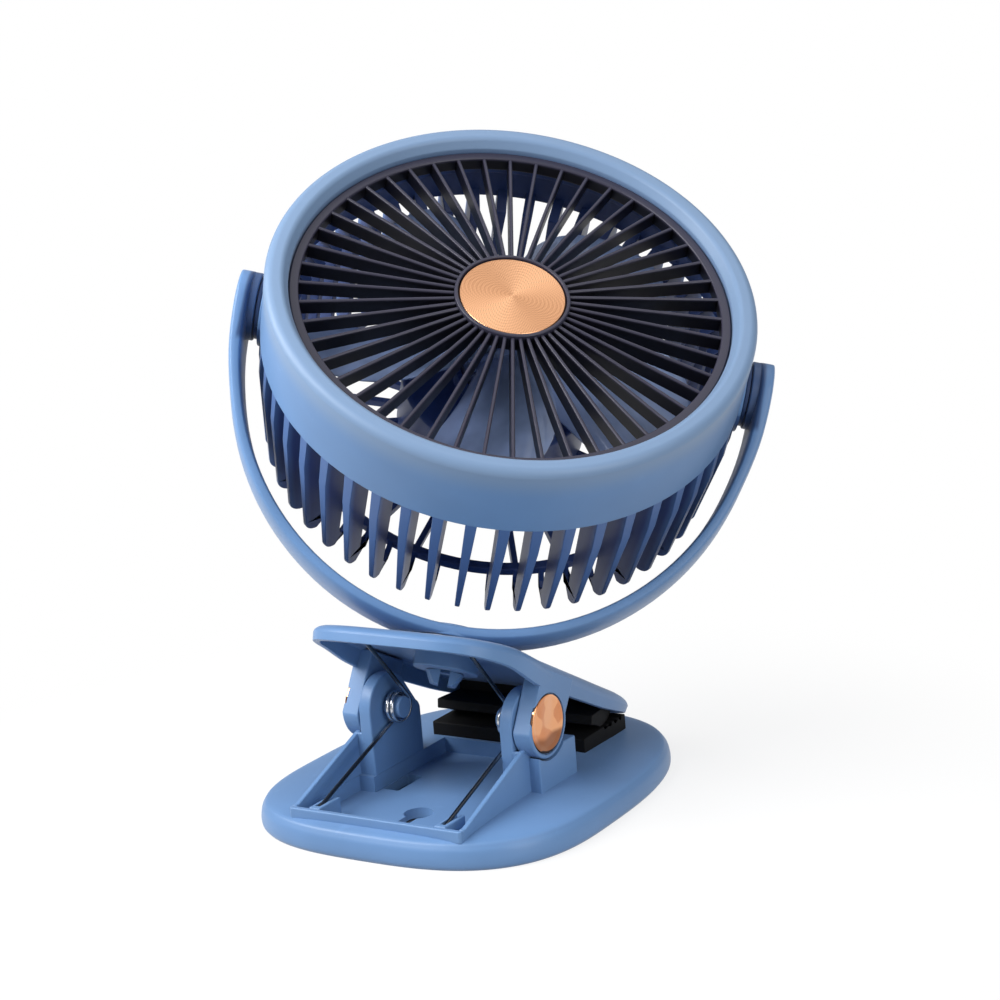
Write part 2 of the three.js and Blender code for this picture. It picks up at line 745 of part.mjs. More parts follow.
const rearRing = () =>
  ring(
    [
      [REAR_RING_RADIUS + 1.6, REAR_DEPTH - 0.1],
      [REAR_RING_RADIUS + 1.6, REAR_DEPTH + SPOKE_WALL + 0.2],
      [REAR_RING_RADIUS - 1.6, REAR_DEPTH + SPOKE_WALL + 0.2],
      [REAR_RING_RADIUS - 1.6, REAR_DEPTH - 0.1],
    ],
    SLAT_COUNT,
  );

function drumHousing() {
  const sides = [-1, 1];
  const slats = Array.from({ length: SLAT_COUNT }, (_, index) => slat(index));
  const pads = sides.map((side) => sideBar(13, side, 75, DRUM_RADIUS + 0.1, [0, 0], 18));
  const body = joined([drumBand(), rearChamber(), rearRing(), ...slats, ...pads]);
  const bores = sides.map((side) => sideBar(3.8, side, 70, 90, [0, 0], 16));
  return mesh("drum_housing", without(body, bores), BLUE);
}

// Front grille: a flat outer ring, a hub that holds the copper disc, and deep thin ribs.
function frontGrille() {
  const outer = ring(
    [
      [70.5, GRILLE_BASE],
      [MOUTH_RADIUS - GAP, GRILLE_BASE],
      [MOUTH_RADIUS - GAP, GRILLE_TOP - 0.4],
      [MOUTH_RADIUS - GAP - 0.6, GRILLE_TOP],
      [71, GRILLE_TOP],
      [70.5, GRILLE_TOP - 0.5],
    ],
    RIB_COUNT,
  );
  const hub = turned(
    [
      [0, 19.5],
      [18.6, 19.5],
      [19.5, 20.4],
      [19.5, GRILLE_TOP + 0.2],
      [19, GRILLE_TOP + 0.6],
      [DISC_RADIUS + GAP, GRILLE_TOP + 0.6],
      [DISC_RADIUS + GAP, 24],
      [0, 24],
    ],
    RIB_COUNT / 2,
  );
  const ribs = Array.from({ length: RIB_COUNT }, (_, index) => {
    const geometry = new THREE.BoxGeometry(52.6, 5.6, RIB_WALL);
    geometry.translate(18.8 + 26.3, -(GRILLE_TOP - 0.3 - 2.8), 0);
    return solid(geometry.rotateY((index / RIB_COUNT) * 2 * Math.PI));
  });
  return mesh("front_grille", joined([outer, hub, ...ribs]), GREY);
}

const hubDisc = () =>
  mesh(
    "hub_disc",
    turned(
      [
        [0, 24.3],
        [DISC_RADIUS, 24.3],
        [DISC_RADIUS, 25.7],
        [DISC_RADIUS - 0.5, 26.1],
        [0, 26.3],
      ],
      32,
    ),
    COPPER,
  );

// ---------------------------------------------------------------- motor and rear chamber

function motorHousing() {
  const front = HUB_FRONT + 8.8;
  const can = axial(MOTOR_RADIUS, HUB_FRONT + GAP, front, [0, 0], 28);
  const nose = axial(3.4, front - 0.1, front + 0.3, [0, 0], 16);
  const bore = axial(1.3, front - 6, front + 1, [0, 0], 12);
  return mesh("motor_housing", without(joined([can, nose]), [bore]), STEEL);
}

const motorShaft = () => mesh("motor_shaft", axial(1, HUB_FRONT + 3.4, 11, [0, 0], 12), STEEL);

// One blade: a petal-shaped sheet, skewed backwards, pitched more at the root than at the tip.
function blade(index) {
  const geometry = new THREE.BoxGeometry(1, 1, 1, 6, 4, 1);
  const turn = radians(BLADE_PHASE + ((index + 0.5) / BLADE_COUNT) * 360);
  const { lerp } = THREE.MathUtils;
  return solid(
    warped(geometry, (x, y, z) => {
      const out = x + 0.5;
      const radius = lerp(7.4, BLADE_RADIUS, out);
      const tip = Math.sqrt(1 - Math.max(0, (out - 0.45) / 0.57) ** 2);
      const chord = lerp(11, 38, out) * tip;
      const angle = turn + (chord * y) / radius + radians(14) * (0.4 - out ** 2);
      const depth = lerp(3.4, 1, out) + y * chord * lerp(0.72, 0.34, out) + 1.8 * (1 - 4 * y * y);
      const thickness = lerp(2, 1.2, out);
      return [radius * Math.cos(angle), -(depth + z * thickness), radius * Math.sin(angle)];
    }),
  );
}

function impeller() {
  const hub = turned(
    [
      [1.3, -4.4],
      [11.5, -4.4],
      [11.5, -2.4],
      [8.2, -1.8],
      [8.2, 10],
      [7, 11.6],
      [1.3, 11.6],
      [1.3, -4.4],
    ],
    24,
  );
  const blades = Array.from({ length: BLADE_COUNT }, (_, index) => blade(index));
  return mesh("impeller", joined([hub, ...blades]), SMOKE);
}

const shaftCap = () =>
  mesh(
    "shaft_cap",
    turned(
      [
        [0, 11.9],
        [4.2, 11.9],
        [4.2, 12.4],
        [2.6, 13],
        [0, 13.1],
      ],
      16,
    ),
    GREY,
  );

// Places on the rear cover, as [x, z].
const BUTTON_SPOT = [0, 11];
const PORT_SPOT = [-13, 11];
const LIGHT_SPOT = [13, 11];
const COVER_SPOTS = [
  [0, -26.5],
  [-23.4, 12.6],
  [23.4, 12.6],
];

function rearCover() {
  const disc = turned(
    [
      [0, REAR_DEPTH + 2],
      [HUB_RADIUS - 2 - GAP, REAR_DEPTH + 2],
      [HUB_RADIUS - 2 - GAP, REAR_DEPTH + 0.5],
      [HUB_RADIUS - 2.8, REAR_DEPTH],
      [0, REAR_DEPTH],
    ],
    28,
  );
  const [px, pz] = PORT_SPOT;
  const openings = [
    axial(6.3, REAR_DEPTH - 1, REAR_DEPTH + 3, BUTTON_SPOT, 24),
    box(px - 5, px + 5, -REAR_DEPTH - 3, -REAR_DEPTH + 1, pz - 2.2, pz + 2.2),
    axial(1.8, REAR_DEPTH - 1, REAR_DEPTH + 3, LIGHT_SPOT, 14),
    ...COVER_SPOTS.map((spot) => axial(1.5, REAR_DEPTH - 1, REAR_DEPTH + 3, spot, 12)),
    ...COVER_SPOTS.map((spot) => axial(2.8, REAR_DEPTH - 1, REAR_DEPTH + 1, spot, 16)),
  ];
  return mesh("rear_cover", without(disc, openings), BLUE);
}

function rearScrew(spot, index) {
  const head = axial(2.4, REAR_DEPTH + 0.1, REAR_DEPTH + 0.7, spot, 14);
  const shank = axial(1.2, REAR_DEPTH + 0.6, REAR_DEPTH + 9, spot, 10);
  return mesh(`rear_screw_${index + 1}`, joined([head, shank]), STEEL);
}

const BOARD_DEPTH = -27.5;

function circuitBoard() {
  const board = box(-20, 20, -BOARD_DEPTH - 1.4, -BOARD_DEPTH, 3, 19);
  return mesh("circuit_board", board, GREEN);
}

function usbPort() {
  const [x, z] = PORT_SPOT;
  const shell = box(x - 4.5, x + 4.5, -BOARD_DEPTH + GAP, -REAR_DEPTH - 0.2, z - 1.7, z + 1.7);
  const mouth = box(x - 4.1, x + 4.1, -REAR_DEPTH - 5, -REAR_DEPTH + 1, z - 1.3, z + 1.3);
  const tongue = box(x - 3.3, x + 3.3, -REAR_DEPTH - 5.5, -REAR_DEPTH - 1, z - 0.35, z + 0.35);
  return mesh("usb_port", joined([without(shell, [mouth]), tongue]), STEEL);
}

// Button: a low dome with a flange inside the cover and a stem over the switch.
function speedButton() {
  const cap = turned(
    [
      [0, -30.6],
      [2, -30.6],
      [2, -32.7],
      [7, -32.7],
      [7, -33.9],
      [6, -33.9],
      [6, -37.2],
      [5.2, -37.9],
      [0, -38.2],
    ],
    20,
  );
  return mesh("speed_button", cap.translate([BUTTON_SPOT[0], 0, BUTTON_SPOT[1]]), WHITE);
}

function switchBody() {
  const [x, z] = BUTTON_SPOT;
  return mesh("tact_switch", box(x - 3, x + 3, -BOARD_DEPTH + GAP, -BOARD_DEPTH + 1.8, z - 3, z + 3), BLACK);
}

const chargeLight = () => mesh("charge_light", axial(1.4, REAR_DEPTH + 0.2, BOARD_DEPTH - GAP, LIGHT_SPOT, 18), WHITE);

const batteryCell = () => mesh("battery_cell", bar("x", 8.5, -24, 24, [25.2, -9.6], 24), SLEEVE);

// ---------------------------------------------------------------- assembly

const clipFan = new THREE.Group();
clipFan.add(
  basePlate(),
  bottomCover(),
  ...SCREW_SPOTS.map(coverScrew),
  lowerPad(),
  ...[-1, 1].flatMap((side) => [hingePin(side), hingeCap(side), clipSpring(side)]),
);

const jawGroup = new THREE.Group();
jawGroup.position.set(...SWIVEL_FOOT);
jawGroup.rotation.x = -radians(JAW_SLOPE);
jawGroup.add(upperJaw(), upperPad());
clipFan.add(jawGroup);

const yokeGroup = new THREE.Group();
yokeGroup.rotation.z = radians(SWIVEL_TURN);
yokeGroup.add(yoke(), swivelPost(), swivelWasher());
yokeGroup.add(...[-1, 1].flatMap((side) => [tiltWasher(side), tiltPin(side)]));
jawGroup.add(yokeGroup);

const headGroup = new THREE.Group();
headGroup.position.z = PIVOT_HEIGHT;
headGroup.rotation.x = -radians(HEAD_TILT);
headGroup.add(drumHousing(), frontGrille(), hubDisc(), motorHousing(), rearCover());
headGroup.add(...COVER_SPOTS.map(rearScrew), circuitBoard(), usbPort(), switchBody());
headGroup.add(chargeLight(), batteryCell(), speedButton());
yokeGroup.add(headGroup);

const rotorGroup = new THREE.Group();
rotorGroup.add(impeller(), motorShaft(), shaftCap());
headGroup.add(rotorGroup);

export default clipFan;
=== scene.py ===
"""Clip fan: the visible model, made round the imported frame.

Shapes are worked out in millimetres in a piece's own frame. A seat matrix turns them into metres
in the object's frame, whose X runs along the clip's hinge, +Y towards its mouth and +Z up.
"""

import json
import math

import bmesh
import bpy
from bpy.props import FloatProperty, FloatVectorProperty, IntProperty, PointerProperty
from mathutils import Matrix, Vector


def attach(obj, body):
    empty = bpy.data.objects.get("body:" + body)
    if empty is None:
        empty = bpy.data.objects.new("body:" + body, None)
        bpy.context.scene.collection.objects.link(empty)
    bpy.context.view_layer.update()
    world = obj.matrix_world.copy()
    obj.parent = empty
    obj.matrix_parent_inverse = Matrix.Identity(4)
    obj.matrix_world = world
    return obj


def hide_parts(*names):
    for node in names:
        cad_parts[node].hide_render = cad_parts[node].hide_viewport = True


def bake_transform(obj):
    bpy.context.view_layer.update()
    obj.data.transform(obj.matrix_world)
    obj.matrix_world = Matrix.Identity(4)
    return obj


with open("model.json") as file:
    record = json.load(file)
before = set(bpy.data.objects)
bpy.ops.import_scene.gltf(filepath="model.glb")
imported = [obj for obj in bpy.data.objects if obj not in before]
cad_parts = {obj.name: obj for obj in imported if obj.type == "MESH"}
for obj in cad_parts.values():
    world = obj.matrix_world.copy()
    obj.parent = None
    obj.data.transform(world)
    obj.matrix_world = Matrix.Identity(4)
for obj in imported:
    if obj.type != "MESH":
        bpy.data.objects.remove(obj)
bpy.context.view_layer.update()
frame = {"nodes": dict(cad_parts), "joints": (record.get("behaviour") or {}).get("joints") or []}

bl_info = {
    "name": "Clip fan",
    "version": (1, 0, 0),
    "blender": (4, 5, 0),
    "location": "View3D > Sidebar > Clip fan",
    "description": "Builds a clip fan's casings, grille, clip and finishes round its packed frame",
    "category": "Add Mesh",
}

MM = 0.001
FULL = 2 * math.pi

# ------------------------------------------------------------------ places, from the frame's joints

JOINTS = {joint["name"]: joint for joint in frame["joints"]}


def seat(origin, x_axis, z_axis):
    """Millimetres in a piece's own frame, put in place in metres."""
    x, z = Vector(x_axis).normalized(), Vector(z_axis).normalized()
    turn = Matrix((x, z.cross(x), z)).transposed().to_4x4()
    return Matrix.Translation(Vector(origin)) @ turn @ Matrix.Scale(MM, 4)


SWIVEL = JOINTS["yoke_swivel"]
TILT = JOINTS["head_tilt"]
FAN_AXIS = Vector(JOINTS["fan_spin"]["axis"])
TILT_AXIS = Vector(TILT["axis"])

GROUND = Matrix.Scale(MM, 4)
JAW = seat(SWIVEL["pos_m"], (1, 0, 0), SWIVEL["axis"])
YOKE = seat(SWIVEL["pos_m"], TILT_AXIS, SWIVEL["axis"])
HEAD = seat(TILT["pos_m"], TILT_AXIS, TILT_AXIS.cross(-FAN_AXIS))

HINGE_HEIGHT = JOINTS["clip_hinge"]["pos_m"][2] / MM
HINGE = (0, HINGE_HEIGHT)
PIVOT_HEIGHT = (Vector(TILT["pos_m"]) - Vector(SWIVEL["pos_m"])).length / MM


def in_jaw(y, z):
    """A point of the ground frame's [y, z] plane, seen in the jaw's frame."""
    local = JAW.inverted() @ (GROUND @ Vector((0, y, z)))
    return local.y, local.z


# ------------------------------------------------------------------ sizes and colours


def length(name, text, default):
    return FloatProperty(name=name, description=text, default=default, unit="LENGTH", precision=4, min=0)


def colour(name, text, default):
    return FloatVectorProperty(
        name=name, description=text, default=default, subtype="COLOR", size=3, min=0, max=1
    )


class ClipFanClipSizes(bpy.types.PropertyGroup):
    """Sizes of the base, the jaw and the hinge."""

    base_half_width: length("Base half width", "Half the width of the base plate", 0.0605)
    base_rear: length("Base rear", "Reach of the base behind the hinge", 0.0558)
    base_nose: length("Base nose", "Reach of the base in front of the hinge", 0.0825)
    base_crown: length("Base crown", "Height of the base in the middle", 0.011)
    jaw_handle: length("Jaw handle", "Reach of the jaw from the swivel to the handle end", 0.0425)
    jaw_mouth: length("Jaw mouth", "Reach of the jaw from the swivel to the mouth end", 0.082)
    ear_radius: length("Ear radius", "Radius of the round ends of the ears", 0.0115)
    pad_half_width: length("Pad half width", "Half the width of the rubber pads", 0.031)
    spring_wire: length("Spring wire", "Diameter of the springs' wire", 0.0014)
    coil_radius: length("Coil radius", "Radius of the springs' coils", 0.0048)
    coil_pitch: length("Coil pitch", "Pitch of the springs' coils", 0.0019)


class ClipFanHeadSizes(bpy.types.PropertyGroup):
    """Sizes of the yoke and the fan head."""

    yoke_radius: length("Yoke radius", "Outer radius of the U", 0.0895)
    yoke_drop: length("Yoke drop", "Centre of the U below the tilt axis", 0.0111)
    yoke_width: length("Yoke width", "Width of the U's band", 0.027)
    drum_radius: length("Drum radius", "Outside radius of the drum", 0.0825)
    lip_round: length("Lip rounding", "Rounding of the front lip", 0.0046)
    mouth_radius: length("Mouth radius", "Radius of the opening that holds the grille", 0.0744)
    slats: IntProperty(name="Slats", description="Slats round the drum", default=48, min=3)
    ribs: IntProperty(name="Ribs", description="Ribs of the front grille", default=48, min=3)
    rib_wall: length("Rib wall", "Thickness of a rib", 0.00125)
    disc_radius: length("Disc radius", "Radius of the copper disc", 0.01796)
    blades: IntProperty(name="Blades", description="Blades of the impeller", default=5, min=2)
    blade_radius: length("Blade radius", "Reach of the blades", 0.070)


class ClipFanFinishes(bpy.types.PropertyGroup):
    """Colours of the fan's plastics and metals."""

    blue: colour("Blue", "Moulded casings", (0.118, 0.232, 0.440))
    grille: colour("Grille", "Front grille", (0.018, 0.017, 0.029))
    smoke: colour("Smoke", "See-through blades", (0.26, 0.35, 0.60))
    rubber: colour("Rubber", "Clip pads", (0.0022, 0.0022, 0.0026))
    copper: colour("Copper", "Disc and hinge caps", (0.83, 0.40, 0.20))
    steel: colour("Steel", "Springs and screws", (0.60, 0.61, 0.63))
    white: colour("White", "Washer, button and light", (0.78, 0.80, 0.82))


# ------------------------------------------------------------------ outlines


def clamped(t):
    return min(1, max(0, t))


def ramp(t):
    """0 below 0, 1 above 1, and a smooth rise between them."""
    t = clamped(t)
    return t * t * (3 - 2 * t)


def mix(a, b, t):
    return a + (b - a) * t


def arc(cx, cy, radius, first, last, steps):
    """Points on a circle from one angle to another, in degrees."""
    angles = [math.radians(first + (last - first) * i / steps) for i in range(steps + 1)]
    return [(cx + radius * math.cos(a), cy + radius * math.sin(a)) for a in angles]


def filleted(corners, closed=False, steps=5):
    """A line through (a, b, radius) corners, with an arc of that radius at each."""
    points = []
    for i, (a, b, radius) in enumerate(corners):
        here = Vector((a, b))
        if radius == 0 or (not closed and i in (0, len(corners) - 1)):
            points.append((a, b))
            continue
        back = Vector(corners[i - 1][:2]) - here
        on = Vector(corners[(i + 1) % len(corners)][:2]) - here
        half = back.angle(on) / 2
        run = min(radius / math.tan(half), back.length * 0.49, on.length * 0.49)
        middle = (back.normalized() + on.normalized()).normalized() * (run / math.cos(half))
        start = back.normalized() * run - middle
        sense = math.copysign(1, back.cross(on))
        for k in range(steps + 1):
            turn = -sense * (math.pi - 2 * half) * k / steps
            c, s = math.cos(turn), math.sin(turn)
            across = a + middle.x + start.x * c - start.y * s
            along = b + middle.y + start.x * s + start.y * c
            points.append((across, along))
    return points


def flowing(points, steps=6):
    """A smooth line through points, which starts and ends on the first and the last."""

    def along(a, b, c, d, t):
        square, cube = 2 * a - 5 * b + 4 * c - d, 3 * b - a - 3 * c + d
        return 0.5 * (2 * b + (c - a) * t + square * t**2 + cube * t**3)

    padded = [points[0], *points, points[-1]]
    line = []
    for spots in zip(padded, padded[1:], padded[2:], padded[3:]):
        line += [tuple(along(*values, k / steps) for values in zip(*spots)) for k in range(steps)]
    return [*line, points[-1]]


def plan_outline(half_width, rear, front, rear_power, front_power):
    """A plan outline by angle: a superellipse with its own reach and roundness at each end."""

    def point(angle):
        c, s = math.cos(angle), math.sin(angle)
        power = 2 / (rear_power if s < 0 else front_power)
        y = (rear if s < 0 else front) * math.copysign(abs(s) ** power, s)
        return half_width(y) * math.copysign(abs(c) ** power, c), y

    return point


# ------------------------------------------------------------------ forms: closed shells in a bmesh

PLACES = {
    "fan": lambda r, h, c, s: (r * c, -h, r * s),
    "x": lambda r, h, c, s: (h, r * c, r * s),
    "z": lambda r, h, c, s: (r * c, r * s, h),
}


def stack(rows, closed=False):
    """Bridges rows of points, and closes both ends unless the last row comes back to the first."""
    form = bmesh.new()
    made = [[form.verts.new(p) for p in row] for row in rows]
    pairs = list(zip(made, made[1:])) + ([(made[-1], made[0])] if closed else [])
    for low, high in pairs:
        for i in range(max(len(low), len(high))):
            corners = (low[i % len(low)], low[(i + 1) % len(low)])
            corners += (high[(i + 1) % len(high)], high[i % len(high)])
            form.faces.new(list(dict.fromkeys(corners)))
    if not closed:
        for row in (made[0], made[-1]):
            if len(row) > 2:
                form.faces.new(row)
    bmesh.ops.recalc_face_normals(form, faces=form.faces)
    return form


def turned(profile, axis, steps=96, at=(0, 0), closed=False):
    """Turns (radius, height) pairs about an axis: "z", "x", or "fan", which points to the front."""
    place = PLACES[axis]
    rows = []
    for radius, height in profile:
        count = 1 if radius == 0 else steps
        angles = [FULL * i / count for i in range(count)]
        rows.append([Vector(place(radius, height, math.cos(a), math.sin(a))) for a in angles])
    form = stack(rows, closed)
    u, v = at
    shift = {"fan": (u, 0, v), "x": (0, u, v), "z": (u, v, 0)}[axis]
    bmesh.ops.translate(form, vec=shift, verts=form.verts)
    return form


def rod(axis, radius, low, high, at=(0, 0), ease=0.0, steps=48):
    """A round bar with eased ends."""
    profile = filleted([(0, low, 0), (radius, low, ease), (radius, high, ease), (0, high, 0)], steps=4)
    return turned(profile, axis, steps, at)


def eased(form, ease, segments=3):
    """Rounds a form's sharp edges."""
    sharp_from = math.radians(35)
    sharp = [edge for edge in form.edges if edge.calc_face_angle(0) > sharp_from]
    bmesh.ops.bevel(form, geom=sharp, offset=ease, segments=segments, profile=0.5, affect="EDGES")
    return form


def extruded(outline, low, high, axis="x", ease=0.0):
    """A flat outline made a solid along X or Z, with its sharp edges eased."""
    place = (lambda a, b, h: (h, a, b)) if axis == "x" else (lambda a, b, h: (a, b, h))
    form = stack([[place(a, b, h) for a, b in outline] for h in (low, high)])
    return eased(form, ease) if ease else form


def block(x0, x1, y0, y1, z0, z1, ease=0.4):
    """A box with eased edges."""
    return extruded([(x0, y0), (x1, y0), (x1, y1), (x0, y1)], z0, z1, "z", ease)


def mirrored(make):
    """A form for each side of the middle: make is called with a function that orders two stations."""
    return [make(lambda a, b, side=side: sorted((side * a, side * b))) for side in (-1, 1)]


def plate(outline, section, steps=160, height=None):
    """A plate whose rim follows an outline. Its section is (share of the outline, height) pairs."""
    rows = []
    for share, z in section:
        row = []
        for i in range(steps):
            x, y = outline(FULL * i / steps)
            x, y = x * share, y * share
            row.append((x, y, height(y, z) if height else z))
        rows.append(row)
    return stack(rows)


def mesh_of(form, name="form"):
    mesh = bpy.data.meshes.new(name)
    form.to_mesh(mesh)
    form.free()
    return mesh


def form_of(mesh):
    form = bmesh.new()
    form.from_mesh(mesh)
    bpy.data.meshes.remove(mesh)
    return form


def together(*forms):
    """Several closed shells in one form."""
    whole = bmesh.new()
    for form in forms:
        mesh = mesh_of(form)
        whole.from_mesh(mesh)
        bpy.data.meshes.remove(mesh)
    return whole


def shown(name, data):
    made = bpy.data.objects.new(name, data)
    bpy.context.scene.collection.objects.link(made)
    return made


def plain(obj):
    """Takes obj away and returns its evaluated mesh."""
    bpy.context.view_layer.update()
    graph = bpy.context.evaluated_depsgraph_get()
    mesh = bpy.data.meshes.new_from_object(obj.evaluated_get(graph), depsgraph=graph)
    bpy.data.objects.remove(obj)
    return mesh


def cut(form, *tools, keep="DIFFERENCE"):
    """Cuts each tool out of a form, or keeps only what lies inside it."""
    body = shown("cut", mesh_of(form))
    cutters = [shown("cutter", mesh_of(tool)) for tool in tools]
    for cutter in cutters:
        step = body.modifiers.new("cut", "BOOLEAN")
        step.operation = keep
        step.solver = "EXACT"
        step.object = cutter
    mesh = plain(body)
    for cutter in cutters:
        bpy.data.objects.remove(cutter)
    return form_of(mesh)


def piece(name, form, place, finish, body, slot, *nodes, smooth=34):
    """Puts a form in place with a finish, lets it ride on a body and stand for CAD nodes."""
    mesh = mesh_of(form, name)
    mesh.transform(place)
    return dress(name, mesh, finish, body, slot, *nodes, smooth=smooth)


def dress(name, mesh, finish, body, slot, *nodes, smooth=34):
    """The same for a mesh that is in place. Edges past the angle smooth stay sharp."""
    mesh.shade_smooth()
    mesh.set_sharp_from_angle(angle=math.radians(smooth))
    mesh.materials.clear()
    mesh.materials.append(finish)
    rough = shown(name + "_rough", mesh)
    even = rough.modifiers.new("even shading", "WEIGHTED_NORMAL")
    even.keep_sharp = True
    made = shown(name, plain(rough))
    made.data.name = name
    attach(made, body)
    if nodes:
        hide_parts(*nodes)
    return made


# ------------------------------------------------------------------ node trees that repeat and sweep


class Tree:
    """A geometry node tree with named inputs, which ends in Realize Instances and Set Material."""

    def __init__(self, name, inputs):
        self.group = bpy.data.node_groups.new(name, "GeometryNodeTree")
        interface = self.group.interface
        interface.new_socket("Geometry", in_out="INPUT", socket_type="NodeSocketGeometry")
        for label, kind in [*inputs, ("Finish", "Material")]:
            interface.new_socket(label, in_out="INPUT", socket_type="NodeSocket" + kind)
        interface.new_socket("Geometry", in_out="OUTPUT", socket_type="NodeSocketGeometry")
        self.entry = self.group.nodes.new("NodeGroupInput")

    def add(self, kind, settings, sockets):
        node = self.group.nodes.new(kind)
        for key, value in settings.items():
            setattr(node, key, value)
        for key, value in sockets.items():
            if isinstance(value, bpy.types.NodeSocket):
                self.group.links.new(value, node.inputs[key])
            else:
                node.inputs[key].default_value = value
        return node.outputs[0]

    def given(self, label):
        return self.entry.outputs[label]

    def end(self, geometry):
        real = self.add("GeometryNodeRealizeInstances", {}, {0: geometry})
        dressed = self.add("GeometryNodeSetMaterial", {}, {0: real, "Material": self.given("Finish")})
        leave = self.group.nodes.new("NodeGroupOutput")
        self.group.links.new(dressed, leave.inputs[0])
        return self

    def run(self, data, values):
        """Runs the tree on a mesh or a curve with its inputs set, and returns a plain mesh."""
        carrier = shown("carrier", data)
        step = carrier.modifiers.new("tree", "NODES")
        step.node_group = self.group
        for item in self.group.interface.items_tree:
            if item.in_out == "INPUT" and item.name in values:
                step[item.identifier] = values[item.name]
        return plain(carrier)


def repeat_round_fan():
    """Repeats its mesh Count times round the fan's axis."""
    tree = Tree("repeat_round_fan", [("Count", "Int"), ("First Turn", "Float")])
    points = tree.add("GeometryNodeMeshLine", {}, {"Count": tree.given("Count"), "Offset": (0, 0, 0)})
    index = tree.add("GeometryNodeInputIndex", {}, {})
    pitch = tree.add("ShaderNodeMath", {"operation": "DIVIDE"}, {0: -FULL, 1: tree.given("Count")})
    turn = tree.add("ShaderNodeMath", {"operation": "MULTIPLY"}, {0: index, 1: pitch})
    turn = tree.add("ShaderNodeMath", {"operation": "SUBTRACT"}, {0: turn, 1: tree.given("First Turn")})
    angles = tree.add("ShaderNodeCombineXYZ", {}, {"Y": turn})
    copies = {"Points": points, "Instance": tree.given("Geometry"), "Rotation": angles}
    return tree.end(tree.add("GeometryNodeInstanceOnPoints", {}, copies))


def sweep_wire():
    """Sweeps a round wire along its curve."""
    tree = Tree("sweep_wire", [("Wire Radius", "Float")])
    circle = {"Resolution": 14, "Radius": tree.given("Wire Radius")}
    section = tree.add("GeometryNodeCurvePrimitiveCircle", {}, circle)
    sweep = {"Curve": tree.given("Geometry"), "Profile Curve": section, "Fill Caps": True}
    return tree.end(tree.add("GeometryNodeCurveToMesh", {}, sweep))


def screw_heads():
    """Puts a low screw head with a cross recess on each of its points. The heads face +Z."""
    tree = Tree("screw_heads", [("Head Radius", "Float"), ("Head Height", "Float"), ("Recess", "Float")])
    radius, height, recess = (tree.given(label) for label in ("Head Radius", "Head Height", "Recess"))

    def times(value, factor):
        return tree.add("ShaderNodeMath", {"operation": "MULTIPLY"}, {0: value, 1: factor})

    cone = {"Vertices": 32, "Radius Top": times(radius, 0.8), "Radius Bottom": radius, "Depth": height}
    head = tree.add("GeometryNodeMeshCone", {}, cone)
    slim, wide = times(radius, 0.26), times(radius, 1.15)
    middle = tree.add("ShaderNodeMath", {"operation": "SUBTRACT"}, {0: times(height, 1.5), 1: recess})
    lift = tree.add("ShaderNodeCombineXYZ", {}, {"Z": middle})
    bars = []
    for across, along in ((slim, wide), (wide, slim)):
        size = tree.add("ShaderNodeCombineXYZ", {}, {"X": across, "Y": along, "Z": height})
        bar = tree.add("GeometryNodeMeshCube", {}, {"Size": size})
        bars.append(tree.add("GeometryNodeTransform", {}, {"Geometry": bar, "Translation": lift}))
    exact = {"operation": "DIFFERENCE", "solver": "EXACT"}
    carved = tree.add("GeometryNodeMeshBoolean", exact, {"Mesh 1": head})
    for bar in bars:
        tree.group.links.new(bar, carved.node.inputs["Mesh 2"])
    points = tree.add("GeometryNodeMeshToPoints", {}, {"Mesh": tree.given("Geometry")})
    copies = tree.add("GeometryNodeInstanceOnPoints", {}, {"Points": points, "Instance": carved})
    return tree.end(copies)


def round_the_fan(form, count, finish, first=0.0):
    """A form repeated round the fan's axis, from an angle on."""
    values = {"Count": count, "First Turn": first, "Finish": finish}
    return form_of(repeat_round_fan().run(mesh_of(form), values))


# ------------------------------------------------------------------ finishes


class Signal:
    """A number that flows through a shader. Operators on it add Math nodes."""

    def __init__(self, board, socket):
        self.board, self.socket = board, socket

    def math(self, operation, *others):
        inputs = {i: value for i, value in enumerate((self, *others))}
        return self.board.signal("ShaderNodeMath", {"operation": operation}, inputs)

    def mirror(self, operation, other):
        return self.board.signal("ShaderNodeMath", {"operation": operation}, {0: other, 1: self})

    def __add__(self, other):
        return self.math("ADD", other)

    def __sub__(self, other):
        return self.math("SUBTRACT", other)

    def __mul__(self, other):
        return self.math("MULTIPLY", other)

    def __truediv__(self, other):
        return self.math("DIVIDE", other)

    def __pow__(self, other):
        return self.math("POWER", other)

    def __rsub__(self, other):
        return self.mirror("SUBTRACT", other)

    __radd__, __rmul__ = __add__, __mul__

    def sine(self):
        return self.math("SINE")

    def clipped(self):
        return self.board.signal("ShaderNodeClamp", {}, {"Value": self})

    def between(self, low, high):
        """0 at low, 1 at high, smooth in between."""
        return self.board.signal(
            "ShaderNodeMapRange",
            {"interpolation_type": "SMOOTHSTEP"},
            {"Value": self, "From Min": low, "From Max": high},
        )


